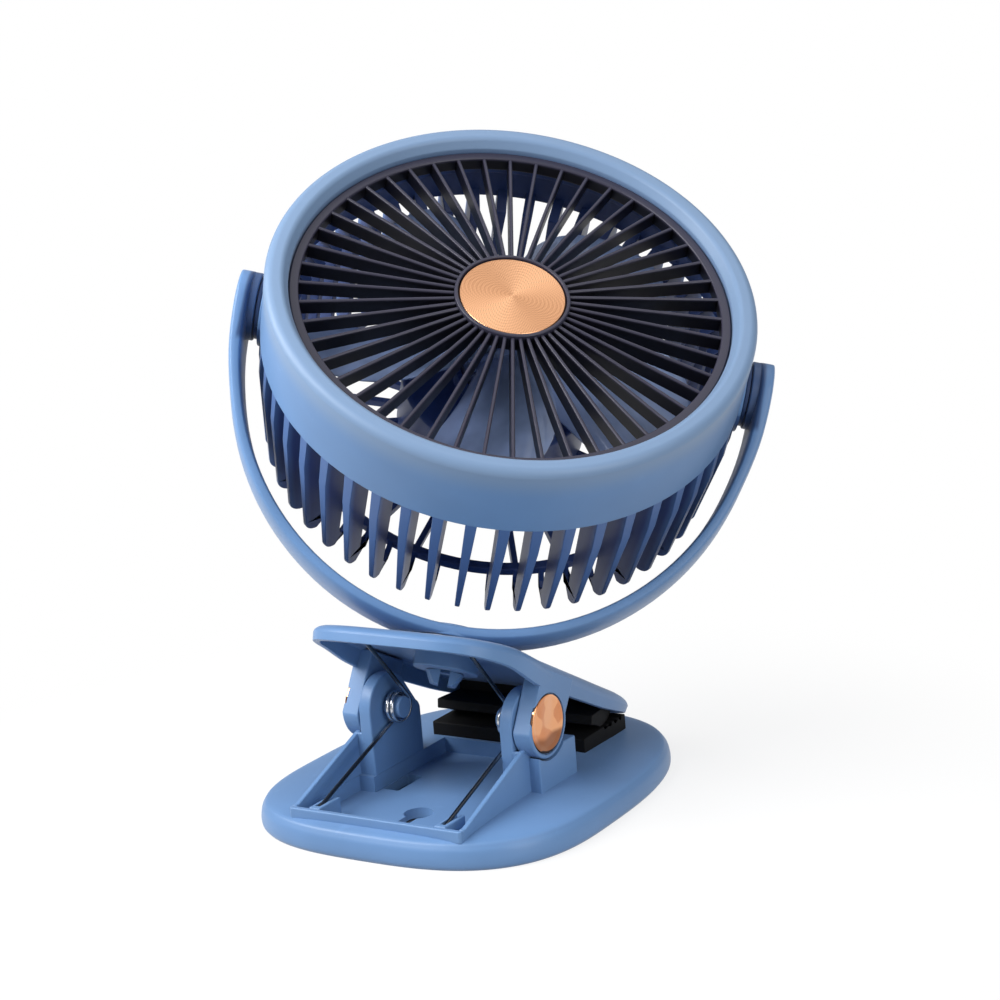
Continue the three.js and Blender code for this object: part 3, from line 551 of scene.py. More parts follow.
class Board:
    """The node board of one material, which ends in a Principled shader."""

    def __init__(self, name):
        self.material = bpy.data.materials.new(name)
        self.material.use_nodes = True
        tree = self.material.node_tree
        tree.nodes.clear()
        self.nodes, self.links = tree.nodes, tree.links
        self.coordinates = self.add("ShaderNodeTexCoord", {}, {}).outputs["Object"]

    def add(self, kind, settings, sockets):
        node = self.nodes.new(kind)
        for key, value in settings.items():
            setattr(node, key, value)
        for key, value in sockets.items():
            value = value.socket if isinstance(value, Signal) else value
            if isinstance(value, bpy.types.NodeSocket):
                self.links.new(value, node.inputs[key])
            else:
                node.inputs[key].default_value = value
        return node

    def signal(self, kind, settings, sockets):
        return Signal(self, self.add(kind, settings, sockets).outputs[0])

    def noise(self, scale, detail, roughness=0.5):
        sockets = {"Vector": self.coordinates, "Scale": scale, "Detail": detail, "Roughness": roughness}
        return self.signal("ShaderNodeTexNoise", {}, sockets)

    def local(self, place):
        """Coordinates in a piece's own frame, in millimetres."""
        spot, turn, size = place.decompose()
        return self.add(
            "ShaderNodeMapping",
            {"vector_type": "TEXTURE"},
            {"Vector": self.coordinates, "Location": spot, "Rotation": turn.to_euler(), "Scale": size},
        ).outputs[0]

    def split(self, vector):
        parts = self.add("ShaderNodeSeparateXYZ", {}, {0: vector}).outputs
        return [Signal(self, part) for part in parts]

    def round_fan(self):
        """Across, back and up in the head's frame, and the distance from the fan's axis."""
        x, back, z = self.split(self.local(HEAD))
        return x, back, z, (x * x + z * z) ** 0.5

    def above_hinge(self):
        """Height over the clip's hinge, in millimetres."""
        _, _, height = self.split(self.coordinates)
        return height * (1 / MM) - HINGE_HEIGHT

    def blend(self, share, first, second):
        return self.add(
            "ShaderNodeMix",
            {"data_type": "RGBA", "clamp_factor": True},
            {"Factor": share, 6: first, 7: second},
        ).outputs[2]

    def bump(self, height, strength, distance):
        sockets = {"Height": height, "Strength": strength, "Distance": distance}
        return self.add("ShaderNodeBump", {}, sockets).outputs[0]

    def finish(self, sockets):
        shader = self.add("ShaderNodeBsdfPrincipled", {}, sockets)
        self.add("ShaderNodeOutputMaterial", {}, {"Surface": shader.outputs[0]})
        return self.material


def rgba(tone, share=1.0):
    return (*[min(1.0, c * share) for c in tone], 1.0)


def tinted(tone, red, green, blue):
    """A tone with its channels scaled one by one."""
    return (tone[0] * red, tone[1] * green, tone[2] * blue, 1.0)


def moulded(name, tone, roughness=0.42, grain=0.12, coat=0.12, gloss=0.5, sheen=0.0, zones=None):
    """Injection-moulded plastic: a fine spark-eroded grain, faint flow clouds and a few rubbed spots."""
    board = Board(name)
    clouds = board.noise(22, 3, 0.55)
    rubbed = board.noise(160, 4, 0.6).between(0.60, 0.78)
    skin = board.noise(3200, 2, 0.6)
    shade = board.blend(clouds.between(0.3, 0.7), rgba(tone, 0.93), rgba(tone, 1.06))
    shade = board.blend(rubbed * 0.16, shade, rgba(tone, 1.35))
    return board.finish(
        {
            # A finish may paint light and shade into its base colour here.
            "Base Color": zones(board, shade, tone) if zones else shade,
            "Roughness": roughness + (clouds - 0.5) * 0.10 + rubbed * -0.06,
            "Normal": board.bump(skin, grain, 0.00012),
            "Coat Weight": coat,
            "Coat Roughness": 0.35,
            "Sheen Weight": sheen,
            "Sheen Roughness": 0.45,
            "Specular IOR Level": gloss,
        }
    )


def boss_painted_shade(board, shade, tone):
    """Painted shade: the arms' bosses are darkened where they face the drum."""
    across, _, up = board.split(board.local(YOKE))
    inward = 1.0 - across.math("ABSOLUTE").between(*ARM_INSIDE)
    near_tilt = up.between(PIVOT_HEIGHT - 16, PIVOT_HEIGHT - 13)
    return board.blend(inward * near_tilt * 0.8, shade, tinted(tone, 0.17, 0.194, 0.295))


def cover_painted_shade(board, shade, tone):
    """Painted shade: the bottom cover is darkened above its foot, where the base closes over it."""
    _, _, height = board.split(board.coordinates)
    return board.blend(height.between(0.0012, 0.0016), shade, rgba(tone, 0.05))


def rib_painted_light(board, _, tone):
    """Painted light and shade: the ribs' crests are painted light grey over painted dark sides."""
    _, back, _, radius = board.round_fan()
    slope = GRILLE_FALL / (RIB_SPAN[1] - RIB_SPAN[0])
    crest = (radius * slope - back).between(GRILLE_TOP - 0.9, GRILLE_TOP + 0.1)
    return board.blend(crest, rgba(tone, 0.22), rgba(tone, 1.8))


def drum_painted_light(board, shade, tone):
    """Painted light and shade: a painted highlight makes the lip paler, painted shade makes the slats dark
    blue, and darker painted shade fills the inside.
    """
    _, back, _, radius = board.round_fan()
    lip = (back * -1.0).between(17, 27)
    slats = back.between(-BAND_DEPTH - 0.3, -BAND_DEPTH + 0.4)
    narrowing = ((back + TAPER_START) / (TAPER_START - TIP_DEPTH - SLAT_CORNER)).clipped() * TIP_TAPER
    inside = (1.0 - (radius + narrowing).between(79.6, 82.1)) * back.between(-27, -20)
    shade = board.blend(lip * 0.8, shade, tinted(tone, 1.6, 1.2, 0.95))
    shade = board.blend(slats * 0.72, shade, tinted(tone, 0.34, 0.40, 0.62))
    return board.blend(inside * 0.9, shade, tinted(tone, 0.16, 0.19, 0.40))


def rubber_finish(tone):
    """Matt rubber with a little dust."""
    board = Board("pad_rubber")
    dust = board.noise(420, 5, 0.65).between(0.52, 0.8)
    skin = board.noise(2600, 3, 0.6)
    shade = board.blend(dust * 0.5, rgba(tone), rgba(tone, 3.0))
    return board.finish(
        {
            "Base Color": shade,
            "Roughness": 0.72 + dust * 0.12,
            "Specular IOR Level": 0.25,
            "Normal": board.bump(skin, 0.3, 0.00015),
        }
    )


def mirror_copper(tone):
    """Plated caps: a mirror with soft facets in its surface and smudges, painted reflections in patches, and
    a painted dark reflection of the base low down.
    """
    board = Board("mirror_copper")
    smudge = board.noise(130, 4, 0.6).between(0.45, 0.75)
    waves = board.noise(70, 1, 0.4)
    # Painted reflection: the cap darkens low down, where it would mirror the base.
    low = 1.0 - (board.above_hinge() + (waves - 0.5) * 9).between(-6.0, -4.0)
    # Painted reflections in soft patches.
    reflection_patches = board.noise(130, 1, 0.3).between(0.47, 0.53)
    shade = board.blend(smudge * 0.5, rgba(tone, 0.92), rgba(tone, 0.74))
    shade = board.blend(reflection_patches * 0.55, shade, tinted(tone, 0.62, 0.42, 0.34))
    shade = board.blend(low * 0.85, shade, tinted(tone, 0.26, 0.20, 0.18))
    return board.finish(
        {
            "Base Color": shade,
            "Metallic": 1.0,
            "Roughness": 0.05 + smudge * 0.06,
            "Normal": board.bump(waves, 1.0, 0.0022),
        }
    )


def turned_copper(tone):
    """The disc: fine turned rings whose gloss gathers in sectors, which are also painted lighter as
    highlights, with drifting bands across them.
    """
    board = Board("turned_copper")
    x, _, z, radius = board.round_fan()
    angle = board.signal("ShaderNodeMath", {"operation": "ARCTAN2"}, {0: z, 1: x})
    ring_pitch, band_pitch = 0.62, 0.95
    rings = (radius * (FULL / ring_pitch)).sine()
    bands = None
    for turn in (35, 125):
        c, s = math.cos(math.radians(turn)), math.sin(math.radians(turn))
        along = (x * c + z * s).math("ABSOLUTE")
        drift = ((radius - along * 0.93) * (FULL / band_pitch)).sine()
        bands = drift if bands is None else bands * drift
    glossy_painted_sectors = ((angle - math.radians(20)) * 2).sine() * 0.5 + 0.5
    # The sectors lighten the colour as a painted highlight, and also lower the roughness.
    light = (glossy_painted_sectors**1.4) * 0.45 + bands * 0.26 + rings * 0.10 + 0.28
    shade = board.blend(light.clipped(), rgba(tone, 0.60), (0.90, 0.49, 0.27, 1))
    return board.finish(
        {
            "Base Color": shade,
            "Metallic": 1.0,
            "Roughness": 0.34 - glossy_painted_sectors * 0.08,
            "Normal": board.bump(rings + bands * 0.6, 0.35, 0.00006),
        }
    )


def steel_finish(name, tone, roughness, dark_legs=False):
    """Drawn or plated steel with a little grime. On the springs, the legs away from the coils get a painted
    dark reflection.
    """
    board = Board(name)
    drawn = board.noise(900, 3, 0.5)
    grime = board.noise(150, 4, 0.6).between(0.5, 0.8)
    shade = board.blend(grime * 0.6, rgba(tone), rgba(tone, 0.7))
    if dark_legs:
        # Painted dark reflection on the springs' legs, away from the coils.
        legs = board.above_hinge().math("ABSOLUTE").between(6.0, 10.0)
        shade = board.blend(legs * 0.9, shade, rgba(tone, 0.10))
    return board.finish(
        {
            "Base Color": shade,
            "Metallic": 1.0,
            "Roughness": roughness + drawn * 0.10,
            "Normal": board.bump(drawn, 0.12, 0.00006),
        }
    )


def smoked_plastic(tone):
    """See-through blades: clear tinted plastic with faint flow lines."""
    board = Board("smoked_plastic")
    flow = board.noise(45, 3, 0.5)
    shade = board.blend(flow.between(0.35, 0.65), rgba(tone, 0.85), rgba(tone, 1.25))
    return board.finish(
        {
            "Base Color": shade,
            "Roughness": 0.22 + flow * 0.08,
            "Alpha": 0.88 + flow * 0.08,
            "Coat Weight": 0.3,
            "Normal": board.bump(flow, 0.1, 0.0004),
        }
    )


def board_finish():
    """The circuit board: green mask with copper tracks under it."""
    board = Board("board_mask")
    x, _, z = board.split(board.local(HEAD))
    tracks = ((x * 2.1 + (z * 0.7).sine() * 2.0).sine()).between(0.80, 0.95)
    shade = board.blend(tracks, (0.010, 0.075, 0.030, 1), (0.030, 0.17, 0.065, 1))
    return board.finish({"Base Color": shade, "Roughness": 0.38 - tracks * 0.08})


def sleeve_finish():
    """The cell's shrunk sleeve, with faint folds."""
    board = Board("cell_sleeve")
    folds = board.noise(300, 3, 0.6)
    shade = board.blend(folds, (0.020, 0.090, 0.28, 1), (0.035, 0.14, 0.38, 1))
    normal = board.bump(folds, 0.2, 0.0002)
    return board.finish({"Base Color": shade, "Roughness": 0.3 + folds * 0.1, "Normal": normal})


def lens_finish(tone):
    """The charge light: frosted plastic."""
    board = Board("charge_lens")
    frost = board.noise(1500, 3, 0.6)
    shade = board.blend(frost, rgba(tone, 0.85), rgba(tone, 1.0))
    normal = board.bump(frost, 0.3, 0.0001)
    return board.finish({"Base Color": shade, "Roughness": 0.45 + frost * 0.15, "Normal": normal})


FINISHES = {}


def make_finishes(tones):
    casing = {"coat": 0.06, "gloss": 0.36, "sheen": 0.1}
    FINISHES.update(
        # The yoke, drum, grille and cover finishes take painted light and shade in their base colour.
        blue=moulded("blue_casing", tones.blue, **casing),
        yoke=moulded("yoke_casing", tones.blue, zones=boss_painted_shade, **casing),
        drum=moulded("drum_casing", tones.blue, coat=0.05, gloss=0.30, sheen=0.1, zones=drum_painted_light),
        grille=moulded("grille_plastic", tones.grille, 0.34, 0.08, coat=0.0, gloss=0.35, zones=rib_painted_light),
        smoke=smoked_plastic(tones.smoke),
        rubber=rubber_finish(tones.rubber),
        mirror=mirror_copper(tones.copper),
        turned=turned_copper(tones.copper),
        steel=steel_finish("bright_steel", tones.steel, 0.16, dark_legs=True),
        dull_steel=steel_finish("plated_steel", tones.steel, 0.28),
        white=moulded("white_plastic", tones.white, roughness=0.35, grain=0.05, coat=0.2),
        black=moulded("switch_black", (0.015, 0.015, 0.017), roughness=0.5),
        cover=moulded("cover_casing", tones.blue, zones=cover_painted_shade),
        # Painted shade: the tilt washers are dark blue, the colour of the shade between the arms and the
        # drum.
        navy=moulded("washer_navy", (0.020, 0.045, 0.12), roughness=0.5, coat=0.0, gloss=0.3),
        board=board_finish(),
        sleeve=sleeve_finish(),
        lens=lens_finish(tones.white),
    )


# ------------------------------------------------------------------ clip

BASE_EAR = (25.5, 30.2)  # the walls' faces, outwards from the middle
JAW_EAR = (30.6, 37.3)
GUSSET = (31.6, 33.4)
FRAME_END, FRAME_TOP = -48, 12.6  # the bar across the handle's end
PLATE_TOP = 8.2  # height at which the parts on the plate are rooted in it
PAD_REAR, PAD_FRONT = 32.2, 61
PAD_MEET = 16.1  # height at which the two pads touch
SCREW_SPOTS = [(-46, -24), (46, -24), (-42, 48), (42, 48)]
JAW_TOP = -2.1
JAW_ROOT = -5.8  # height at which the ears are rooted in the jaw
BORE = 5  # radius of the swivel post's bore
THROUGH = (-1, 14)  # from below the base plate to above it


def base_outline(sizes):
    """The shield's plan, which stands a little to the left of the clip."""
    shift, rear_power, nose_power = -2.0, 2.9, 2.85
    half, rear, nose = sizes.base_half_width / MM, sizes.base_rear / MM, sizes.base_nose / MM
    around = plan_outline(lambda y: half, rear, nose, rear_power, nose_power)
    return lambda angle: (around(angle)[0] + shift, around(angle)[1])


def keyhole_tools():
    """The hole for a wall screw's head, with the slot that its shank slides along."""
    hole, hole_at, slot, slot_end = 5, -24.5, 2.3, -35
    top = [(slot, hole_at + 0.5), (-slot, hole_at + 0.5)]
    outline = [*arc(0, slot_end, slot, 180, 360, 12), *top]
    return [rod("z", hole, *THROUGH, (0, hole_at)), extruded(outline, *THROUGH, "z")]


def window_tools():
    """The slots beside the ears, below the springs' coils."""
    return mirrored(lambda span: block(*span(18.6, 25), -9, 6, *THROUGH, ease=0.8))


def base_shell(sizes):
    """The shield-shaped plate: a rounded rim over a recessed underside, with a pocket in its top."""
    crown, floor = sizes.base_crown / MM, 5.6
    rim = flowing([(0.985, 0), (1, 1.4), (1, 4.2), (0.985, 7.2), (0.94, 9.2), (0.75, 10.4), (0.55, crown)])
    ear, wall, step = BASE_EAR[0] - 0.2, GUSSET[0] - 0.2, -13
    side = [(wall, FRAME_END + 0.1), (wall, step), (ear, step), (ear, PAD_REAR - 1.5)]
    other = [(-x, y) for x, y in reversed(side)]
    recess = extruded([*side, *other], floor, THROUGH[1], "z")
    shell = cut(plate(base_outline(sizes), [(0.93, 2.1), (0.93, 0), *rim]), recess)
    return cut(shell, *keyhole_tools(), *window_tools())


def base_ear(span, radius):
    """The wall that holds the hinge pin: round on the handle's side, with a shoulder on the pad's."""
    foot, wall, shoulder, corner, pin_bore = 10, 18, 26, 4, 4
    outline = [
        (-radius, foot),
        *arc(0, HINGE_HEIGHT, radius, 180, 30, 26),
        *arc(wall - corner, shoulder, corner, 60, 0, 6),
        (wall, foot),
    ]
    return cut(extruded(outline, *span(*BASE_EAR), ease=0.6), rod("x", pin_bore, -40, 40, HINGE))


def gusset(span):
    """The sloping web from beside the ear down to the bar."""
    end, wall, top = FRAME_END - 0.4, -6, 26.2
    outline = [(end, PLATE_TOP), (wall, PLATE_TOP), (wall, top), (-10.4, top - 0.5)]
    outline += [(FRAME_END + 1.5, FRAME_TOP), (end, FRAME_TOP)]
    return extruded(outline, *span(*GUSSET), ease=0.45)


def saddle(span, radius):
    """The block outside the ear, hollowed for the jaw's turning ear, and its web to the gusset."""

    def hollowed(form):
        return cut(form, rod("x", radius + 0.7, *span(BASE_EAR[1], 40), HINGE, steps=96))

    outline = [(-7.3, 8.6), (15.8, 8.6), (15.8, 23.4), (-7.3, 24)]
    body = extruded(outline, *span(BASE_EAR[1] - 0.1, JAW_EAR[1] + 0.2), ease=0.5)
    web = block(*span(29, GUSSET[1] - 0.15), -11.4, -6.2, 9, 25.6)
    return together(hollowed(body), hollowed(web))


def spring_clip(span):
    """The block that holds the end of a spring's leg, open on top."""
    low, high = span(22.2, 26.6)
    middle, half_channel = (low + high) / 2, 1
    body = block(low, high, FRAME_END - 0.3, -36.5, 5.2, 12.7, ease=0.5)
    channel = block(middle - half_channel, middle + half_channel, -46.4, -36, 10.6, 14, ease=0)
    return cut(body, channel)


def pad_platform(sizes):
    """The raised bed inside the lower pad."""
    edge, inset = sizes.pad_half_width / MM - 0.5, 0.5
    return block(-edge, edge, PAD_REAR + inset, PAD_FRONT - inset, PLATE_TOP, 13.4)


def frame_bar():
    """The bar across the handle's end, with round outer corners."""
    edge, outside, inside = GUSSET[1] - 0.1, FRAME_END - 2.1, FRAME_END - 0.1
    corners = [(-edge, outside, 2.0), (edge, outside, 2.0), (edge, inside, 0), (-edge, inside, 0)]
    return extruded(filleted(corners, closed=True), PLATE_TOP + 0.2, FRAME_TOP - 0.1, "z", ease=0.5)


def base_form(sizes):
    """The base moulding: the plate with its walls, webs, bar and bed."""
    radius = sizes.ear_radius / MM
    return together(
        base_shell(sizes),
        pad_platform(sizes),
        frame_bar(),
        *mirrored(lambda span: base_ear(span, radius)),
        *mirrored(gusset),
        *mirrored(lambda span: saddle(span, radius)),
        *mirrored(spring_clip),
    )


def cover_form(sizes):
    """The bottom cover, with the keyhole and a sunk seat for each screw."""
    seats = [rod("z", 3.3, -1, 1.1, spot) for spot in SCREW_SPOTS]
    cover = plate(base_outline(sizes), [(0.915, 0), (0.925, 0.5), (0.925, 1.8)])
    return cut(cover, *keyhole_tools(), *seats)


def screws(spots, radius, place, finish):
    """Screw heads on flat spots. Their own +Z comes out of the surface."""
    height, recess = 0.8, 0.66
    points = bmesh.new()
    for spot in spots:
        points.verts.new(spot)
    values = {"Head Radius": radius, "Head Height": height, "Recess": recess, "Finish": finish}
    mesh = screw_heads().run(mesh_of(points), values)
    mesh.transform(place)
    return mesh


def lower_pad_form(sizes):
    """Rubber pad with grooves across it where it grips."""
    top, floor, half_groove, groove_depth = PAD_MEET - 0.3, 10.3, 1.0, 1.1
    corners = [(PAD_REAR, floor, 0.3), (PAD_REAR, top, 0.6)]
    for y in (47, 50.5, 54, 57.5):
        corners += [(y - half_groove, top, 0.15), (y, top - groove_depth, 0.25), (y + half_groove, top, 0.15)]
    corners += [(PAD_FRONT, top, 0.6), (PAD_FRONT, floor, 0.3)]
    half = sizes.pad_half_width / MM
    return extruded(filleted(corners, closed=True, steps=3), -half, half, ease=0.3)


def jaw_outline(sizes):
    """The jaw's plan, a little narrower towards its mouth."""
    widest, narrowing, handle_power, mouth_power = 38.5, 3.8, 3.1, 5.5
    handle, mouth = sizes.jaw_handle / MM, sizes.jaw_mouth / MM

    def half_width(y):
        return widest - narrowing * (y + 20) / 90

    return plan_outline(half_width, handle, mouth, handle_power, mouth_power)


def upper_pad_form(sizes):
    """The pad below the jaw: a lip towards the hinge over a wedge that fills the jaw's mouth."""
    underside = JAW_TOP - 2.9
    front, height = in_jaw(PAD_FRONT + 5, PAD_MEET)
    corners = [
        (*in_jaw(44.6, PAD_MEET), 0.4),
        (front, height, 0.4),
        (front + 3, underside, 0.3),
        (56.5, underside, 0.3),
        (*in_jaw(49.6, 22.5), 0.3),
        (*in_jaw(37.4, 22.6), 0.5),
        (*in_jaw(36.8, 19.3), 0.3),
        (*in_jaw(39.4, 18.6), 0.3),
    ]
    half = sizes.pad_half_width / MM + 1.2
    wedge = extruded(filleted(corners, closed=True, steps=3), -half, half)
    limit = plate(jaw_outline(sizes), [(0.905, -60), (0.905, 0)], steps=120)
    return eased(cut(wedge, limit, keep="INTERSECT"), 0.3)


def jaw_shell(sizes):
    """The lever: crowned on top, with a rim that is deep round the handle and shallow at the mouth."""
    handle, mouth = sizes.jaw_handle / MM, sizes.jaw_mouth / MM
    shoulder, lip, inside = -5.2, -6.2, (-4.6, -5.1)

    def height(y, z):
        bow = -2.2 * (max(0, -y - 8) / 35) ** 2
        droop = 2.7 * ramp((y + 22) / 26) * (1 - 0.8 * ramp((y - 42) / 44))
        if z < shoulder - 0.5:
            share = (y + handle) / (mouth + handle)
            rim = 3.0 + 2.6 * ramp(share / 0.3) - 3.0 * share
            return bow - droop + shoulder - rim + (z - lip)
        if z in inside:
            return bow + z - droop * 0.5
        return bow + z - droop * clamped((JAW_TOP - z) / (JAW_TOP - shoulder)) ** 0.5

    underside = [(0.9, inside[0]), (0.935, inside[1]), (0.94, -6.0), (0.952, lip), (0.98, lip), (0.992, -5.9)]
    rim = flowing([(1, shoulder), (0.99, -4.2), (0.965, -3.3), (0.93, -2.75)], 4)
    crown = [(0.88, -2.5), (0.8, -2.33), (0.7, -2.2), (0.6, -2.13), (0.5, JAW_TOP)]
    return plate(jaw_outline(sizes), [*underside, *rim, *crown], height=height)


def jaw_ear(span, radius):
    """The round ear outside the base's own, sunk for its cap."""
    y, z = in_jaw(*HINGE)
    lean = math.degrees(math.asin(Vector(SWIVEL["axis"]).y))
    outline = arc(y, z, radius, lean - 180, lean, 30)
    outline += [(outline[-1][0] + 1.2, JAW_ROOT), (outline[0][0] + 1.5, JAW_ROOT)]
    sinking = rod("x", 10.2, *span(36.3, 40), (y, z), steps=96)
    return cut(extruded(outline, *span(*JAW_EAR), ease=0.6), sinking)


def jaw_form(sizes):
    """The jaw: the lever with its ears, and the boss that the swivel post snaps into."""
    radius = sizes.ear_radius / MM
    boss = rod("z", 11, -10.6, JAW_TOP - 1, ease=0.6, steps=72)
    bored = [cut(form, rod("z", BORE, -20, 2)) for form in (jaw_shell(sizes), boss)]
    return together(*bored, *mirrored(lambda span: jaw_ear(span, radius)))


def hinge_pin(side):
    """The pin through both ears, with a flat head behind the cap."""
    shank, head = (sorted((side * near, side * far)) for near, far in ((19.2, 36), (35.8, 36.6)))
    return together(rod("x", 3.7, *shank, HINGE, ease=0.4), rod("x", 8.6, *head, HINGE, ease=0.3))


def hinge_cap(side):
    """Cap that sits in the ear, with a rounded rim and a slightly hollow face."""
    inside, face = 36.5, 37.25
    rim = [(9.8, inside, 0), (9.8, face, 0.7), (8.9, face, 0.6)]
    profile = filleted([(0, inside, 0), *rim, (7.6, face - 0.22, 1.5), (0, face - 0.5, 0)])
    return turned([(r, side * x) for r, x in profile], "x", 96, HINGE)


def spring_curve(side, sizes):
    """Centre line of a spring: a leg from the base, the coil, and a leg to the jaw."""
    coil, pitch = sizes.coil_radius / MM, sizes.coil_pitch / MM
    lower, upper = (-45.5, 11.6), (-17.4, 60.4)  # (y, z) of the legs' ends
    coil_from, coil_steps, leg_steps = 24.5, 130, 12

    def touches(point, sense):
        y, z = point[0], point[1] - HINGE_HEIGHT
        return math.atan2(z, y) + sense * math.acos(coil / math.hypot(y, z))

    entry, leave = touches(lower, 1), touches(upper, -1)
    sweep = (leave - entry) % FULL + 2 * FULL
    turns = []
    for k in range(coil_steps + 1):
        angle = entry + sweep * k / coil_steps
        x = side * (coil_from - sweep * k / coil_steps * pitch / FULL)
        turns.append(Vector((x, coil * math.cos(angle), HINGE_HEIGHT + coil * math.sin(angle))))
    first, last = turns[0], turns[-1]
    shares = [k / leg_steps for k in range(leg_steps)]
    lower_leg = [Vector((first.x, *lower)).lerp(first, t) for t in shares]
    upper_leg = [Vector((last.x, *upper)).lerp(last, t) for t in reversed(shares)]
    line = [*lower_leg, *turns, *upper_leg]
    curve = bpy.data.curves.new("spring_line", "CURVE")
    curve.dimensions = "3D"
    spline = curve.splines.new("POLY")
    spline.points.add(len(line) - 1)
    for point, spot in zip(spline.points, line):
        point.co = (*spot, 1)
    return curve


def clip_spring(side, sizes, finish):
    """A torsion spring, whose legs run from the base to the jaw across its coil."""
    values = {"Wire Radius": sizes.spring_wire / MM / 2, "Finish": finish}
    mesh = sweep_wire().run(spring_curve(side, sizes), values)
    mesh.transform(GROUND)
    mesh.shade_smooth()
    mesh.materials.clear()
    mesh.materials.append(finish)
    name = "spring_left" if side < 0 else "spring_right"
    spring = shown(name, mesh)
    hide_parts("clip_" + name)
    reach = sizes.coil_radius
    middle = HINGE_HEIGHT * MM
    middle - reach
    middle + reach
    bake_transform(spring)
    return spring


# ------------------------------------------------------------------ yoke

PADDLE = 11.6  # reach of the arms' round tops above the tilt axis
ARM_INSIDE = (88.0, 89.2)  # from the middle: the painted shade on the arms' inner side ends between these


def yoke_band(sizes):
    """A loft along the U, from one arm's top to the other. Each section has round corners."""
    radius, drop, band = sizes.yoke_radius / MM, sizes.yoke_drop / MM, sizes.yoke_width / MM
    thin, thick, arm_face, crown = 3.9, 5.2, 92, 2.3
    bend, arm, around = 72, 26, 40  # sections in the bend and in an arm, and points in a section
    run_up = drop + PADDLE
    middle = radius - thin / 2
    spread = arm_face - thick / 2 - middle
    reach = drop + 26  # length of the arms over which they thicken
    corner = 2 / 5

    def superellipse(value):
        return math.copysign(abs(value) ** corner, value)

    rows = []
    for index in range(bend + 2 * arm + 1):
        from_end = min(index, bend + 2 * arm - index)
        side = -1 if index < arm + bend / 2 else 1
        if from_end >= arm:
            angle = math.pi * (from_end - arm) / bend
            normal, width = (side * math.cos(angle), -math.sin(angle)), band
            grown = ramp((middle * normal[1] + reach - drop) / reach)
            out = middle + spread * grown
            centre = (out * normal[0], out * normal[1])
        else:
            run = run_up * (1 - math.cos(from_end / arm * math.pi / 2))
            in_round = max(0, 1 - run / PADDLE)
            normal, width = (side, 0), max(2.0, band * math.sqrt(1 - in_round**2))
            grown = ramp((run_up - run + reach - drop) / reach)
            centre = (side * (middle + spread * grown), run_up - run)
        wall = mix(thin, thick, grown)
        row = []
        for k in range(around):
            turn = FULL * k / around
            across = superellipse(math.cos(turn)) * width / 2
            offset = superellipse(math.sin(turn)) * wall / 2
            if offset > 0:
                offset += crown * max(0, -normal[1]) * (1 - (2 * across / band) ** 2)
            height = max(0.02, PIVOT_HEIGHT - drop + centre[1] + normal[1] * offset)
            row.append((centre[0] + normal[0] * offset, across, height))
        rows.append(row)
    return stack(rows)


def yoke_form(sizes):
    """The U with its foot on the jaw and a boss on each arm."""
    tilt = (0, PIVOT_HEIGHT)
    bosses = mirrored(lambda span: rod("x", PADDLE, *span(84.5, 90), tilt, ease=0.5, steps=72))
    foot = rod("z", 13.5, 0, 3, ease=0.5, steps=72)
    bored = [cut(form, rod("z", BORE, -1, 8)) for form in (yoke_band(sizes), foot)]
    return together(*bored, *bosses)


def swivel_post_form():
    """Snap post: a low round head, a shank, and two sprung legs that hook under the jaw."""
    seat_height, top, hook, toe = 3.4, 4.5, -10.9, -15.4
    cap = [(0, seat_height, 0), (8.5, seat_height, 0.2), (8.5, top, 0.6), (0, top, 0)]
    shank = [(4.4, toe, 0.3), (6.6, hook, 0.3), (4.6, hook, 0.2), (4.6, seat_height + 0.2, 0)]
    legs = turned(filleted([(0, toe, 0), *shank, (0, seat_height + 0.2, 0)]), "z", 72)
    split = block(-1.6, 1.6, -9, 9, -17, -6, ease=0)
    flats = [block(-9, 9, *side, -17, hook + 0.1, ease=0) for side in ((3.4, 9), (-9, -3.4))]
    return together(turned(filleted(cap), "z", 72), cut(legs, split, *flats))


def washer(axis, outer, inner, low, high, at=(0, 0)):
    corners = [(inner, low, 0), (outer, low, 0.25), (outer, high, 0.25), (inner, high, 0)]
    return turned(filleted(corners, closed=True, steps=3), axis, 72, at, closed=True)


# ------------------------------------------------------------------ fan head

# Depths run along the fan's axis, from the tilt axis to the front.
BAND_DEPTH = 2.3
REAR_DEPTH = -36.3
RING_DEPTH = -38.6
TIP_DEPTH = -46.3
TAPER_START, TIP_TAPER, SLAT_CORNER = -10, 3.6, 5
SPOKE = 3  # depth of the spokes behind the slats
GRILLE_BASE, GRILLE_TOP, GRILLE_FALL = 19.6, 26, 1.4
RIB_SPAN = (18.8, 71.6)
CHAMBER_RADIUS, CHAMBER_FRONT = 33, -14
RING_RADII = (63.9, 67.1)
MOTOR_RADIUS = 13


def drum_band(sizes):
    """The wide front band, with its rounded lip and the ledge that the grille sits on."""
    outer, mouth, lip = sizes.drum_radius / MM, sizes.mouth_radius / MM, sizes.lip_round / MM
    inside, ledge, seat_depth = outer - 2.8, 71.8, GRILLE_BASE - 0.2
    top = 25 + lip
    corners = [
        (outer, BAND_DEPTH, 0.4),
        (outer, top, lip),
        (mouth + 2.0, top, 2.2),
        (mouth, top - 3.6, 1.4),
        (mouth, seat_depth, 0),
        (ledge, seat_depth, 0),
        (ledge, seat_depth - 2.0, 0.3),
        (inside, seat_depth - 2.0, 1.0),
        (inside, BAND_DEPTH - 3.2, 0.4),
    ]
    return turned(filleted(corners, closed=True, steps=9), "fan", 192, closed=True)


def slat_width(depth):
    """Slats are wide at the band and narrow at their tips."""
    return mix(3.8, 1.6, clamped((BAND_DEPTH - depth) / (BAND_DEPTH - TIP_DEPTH)))


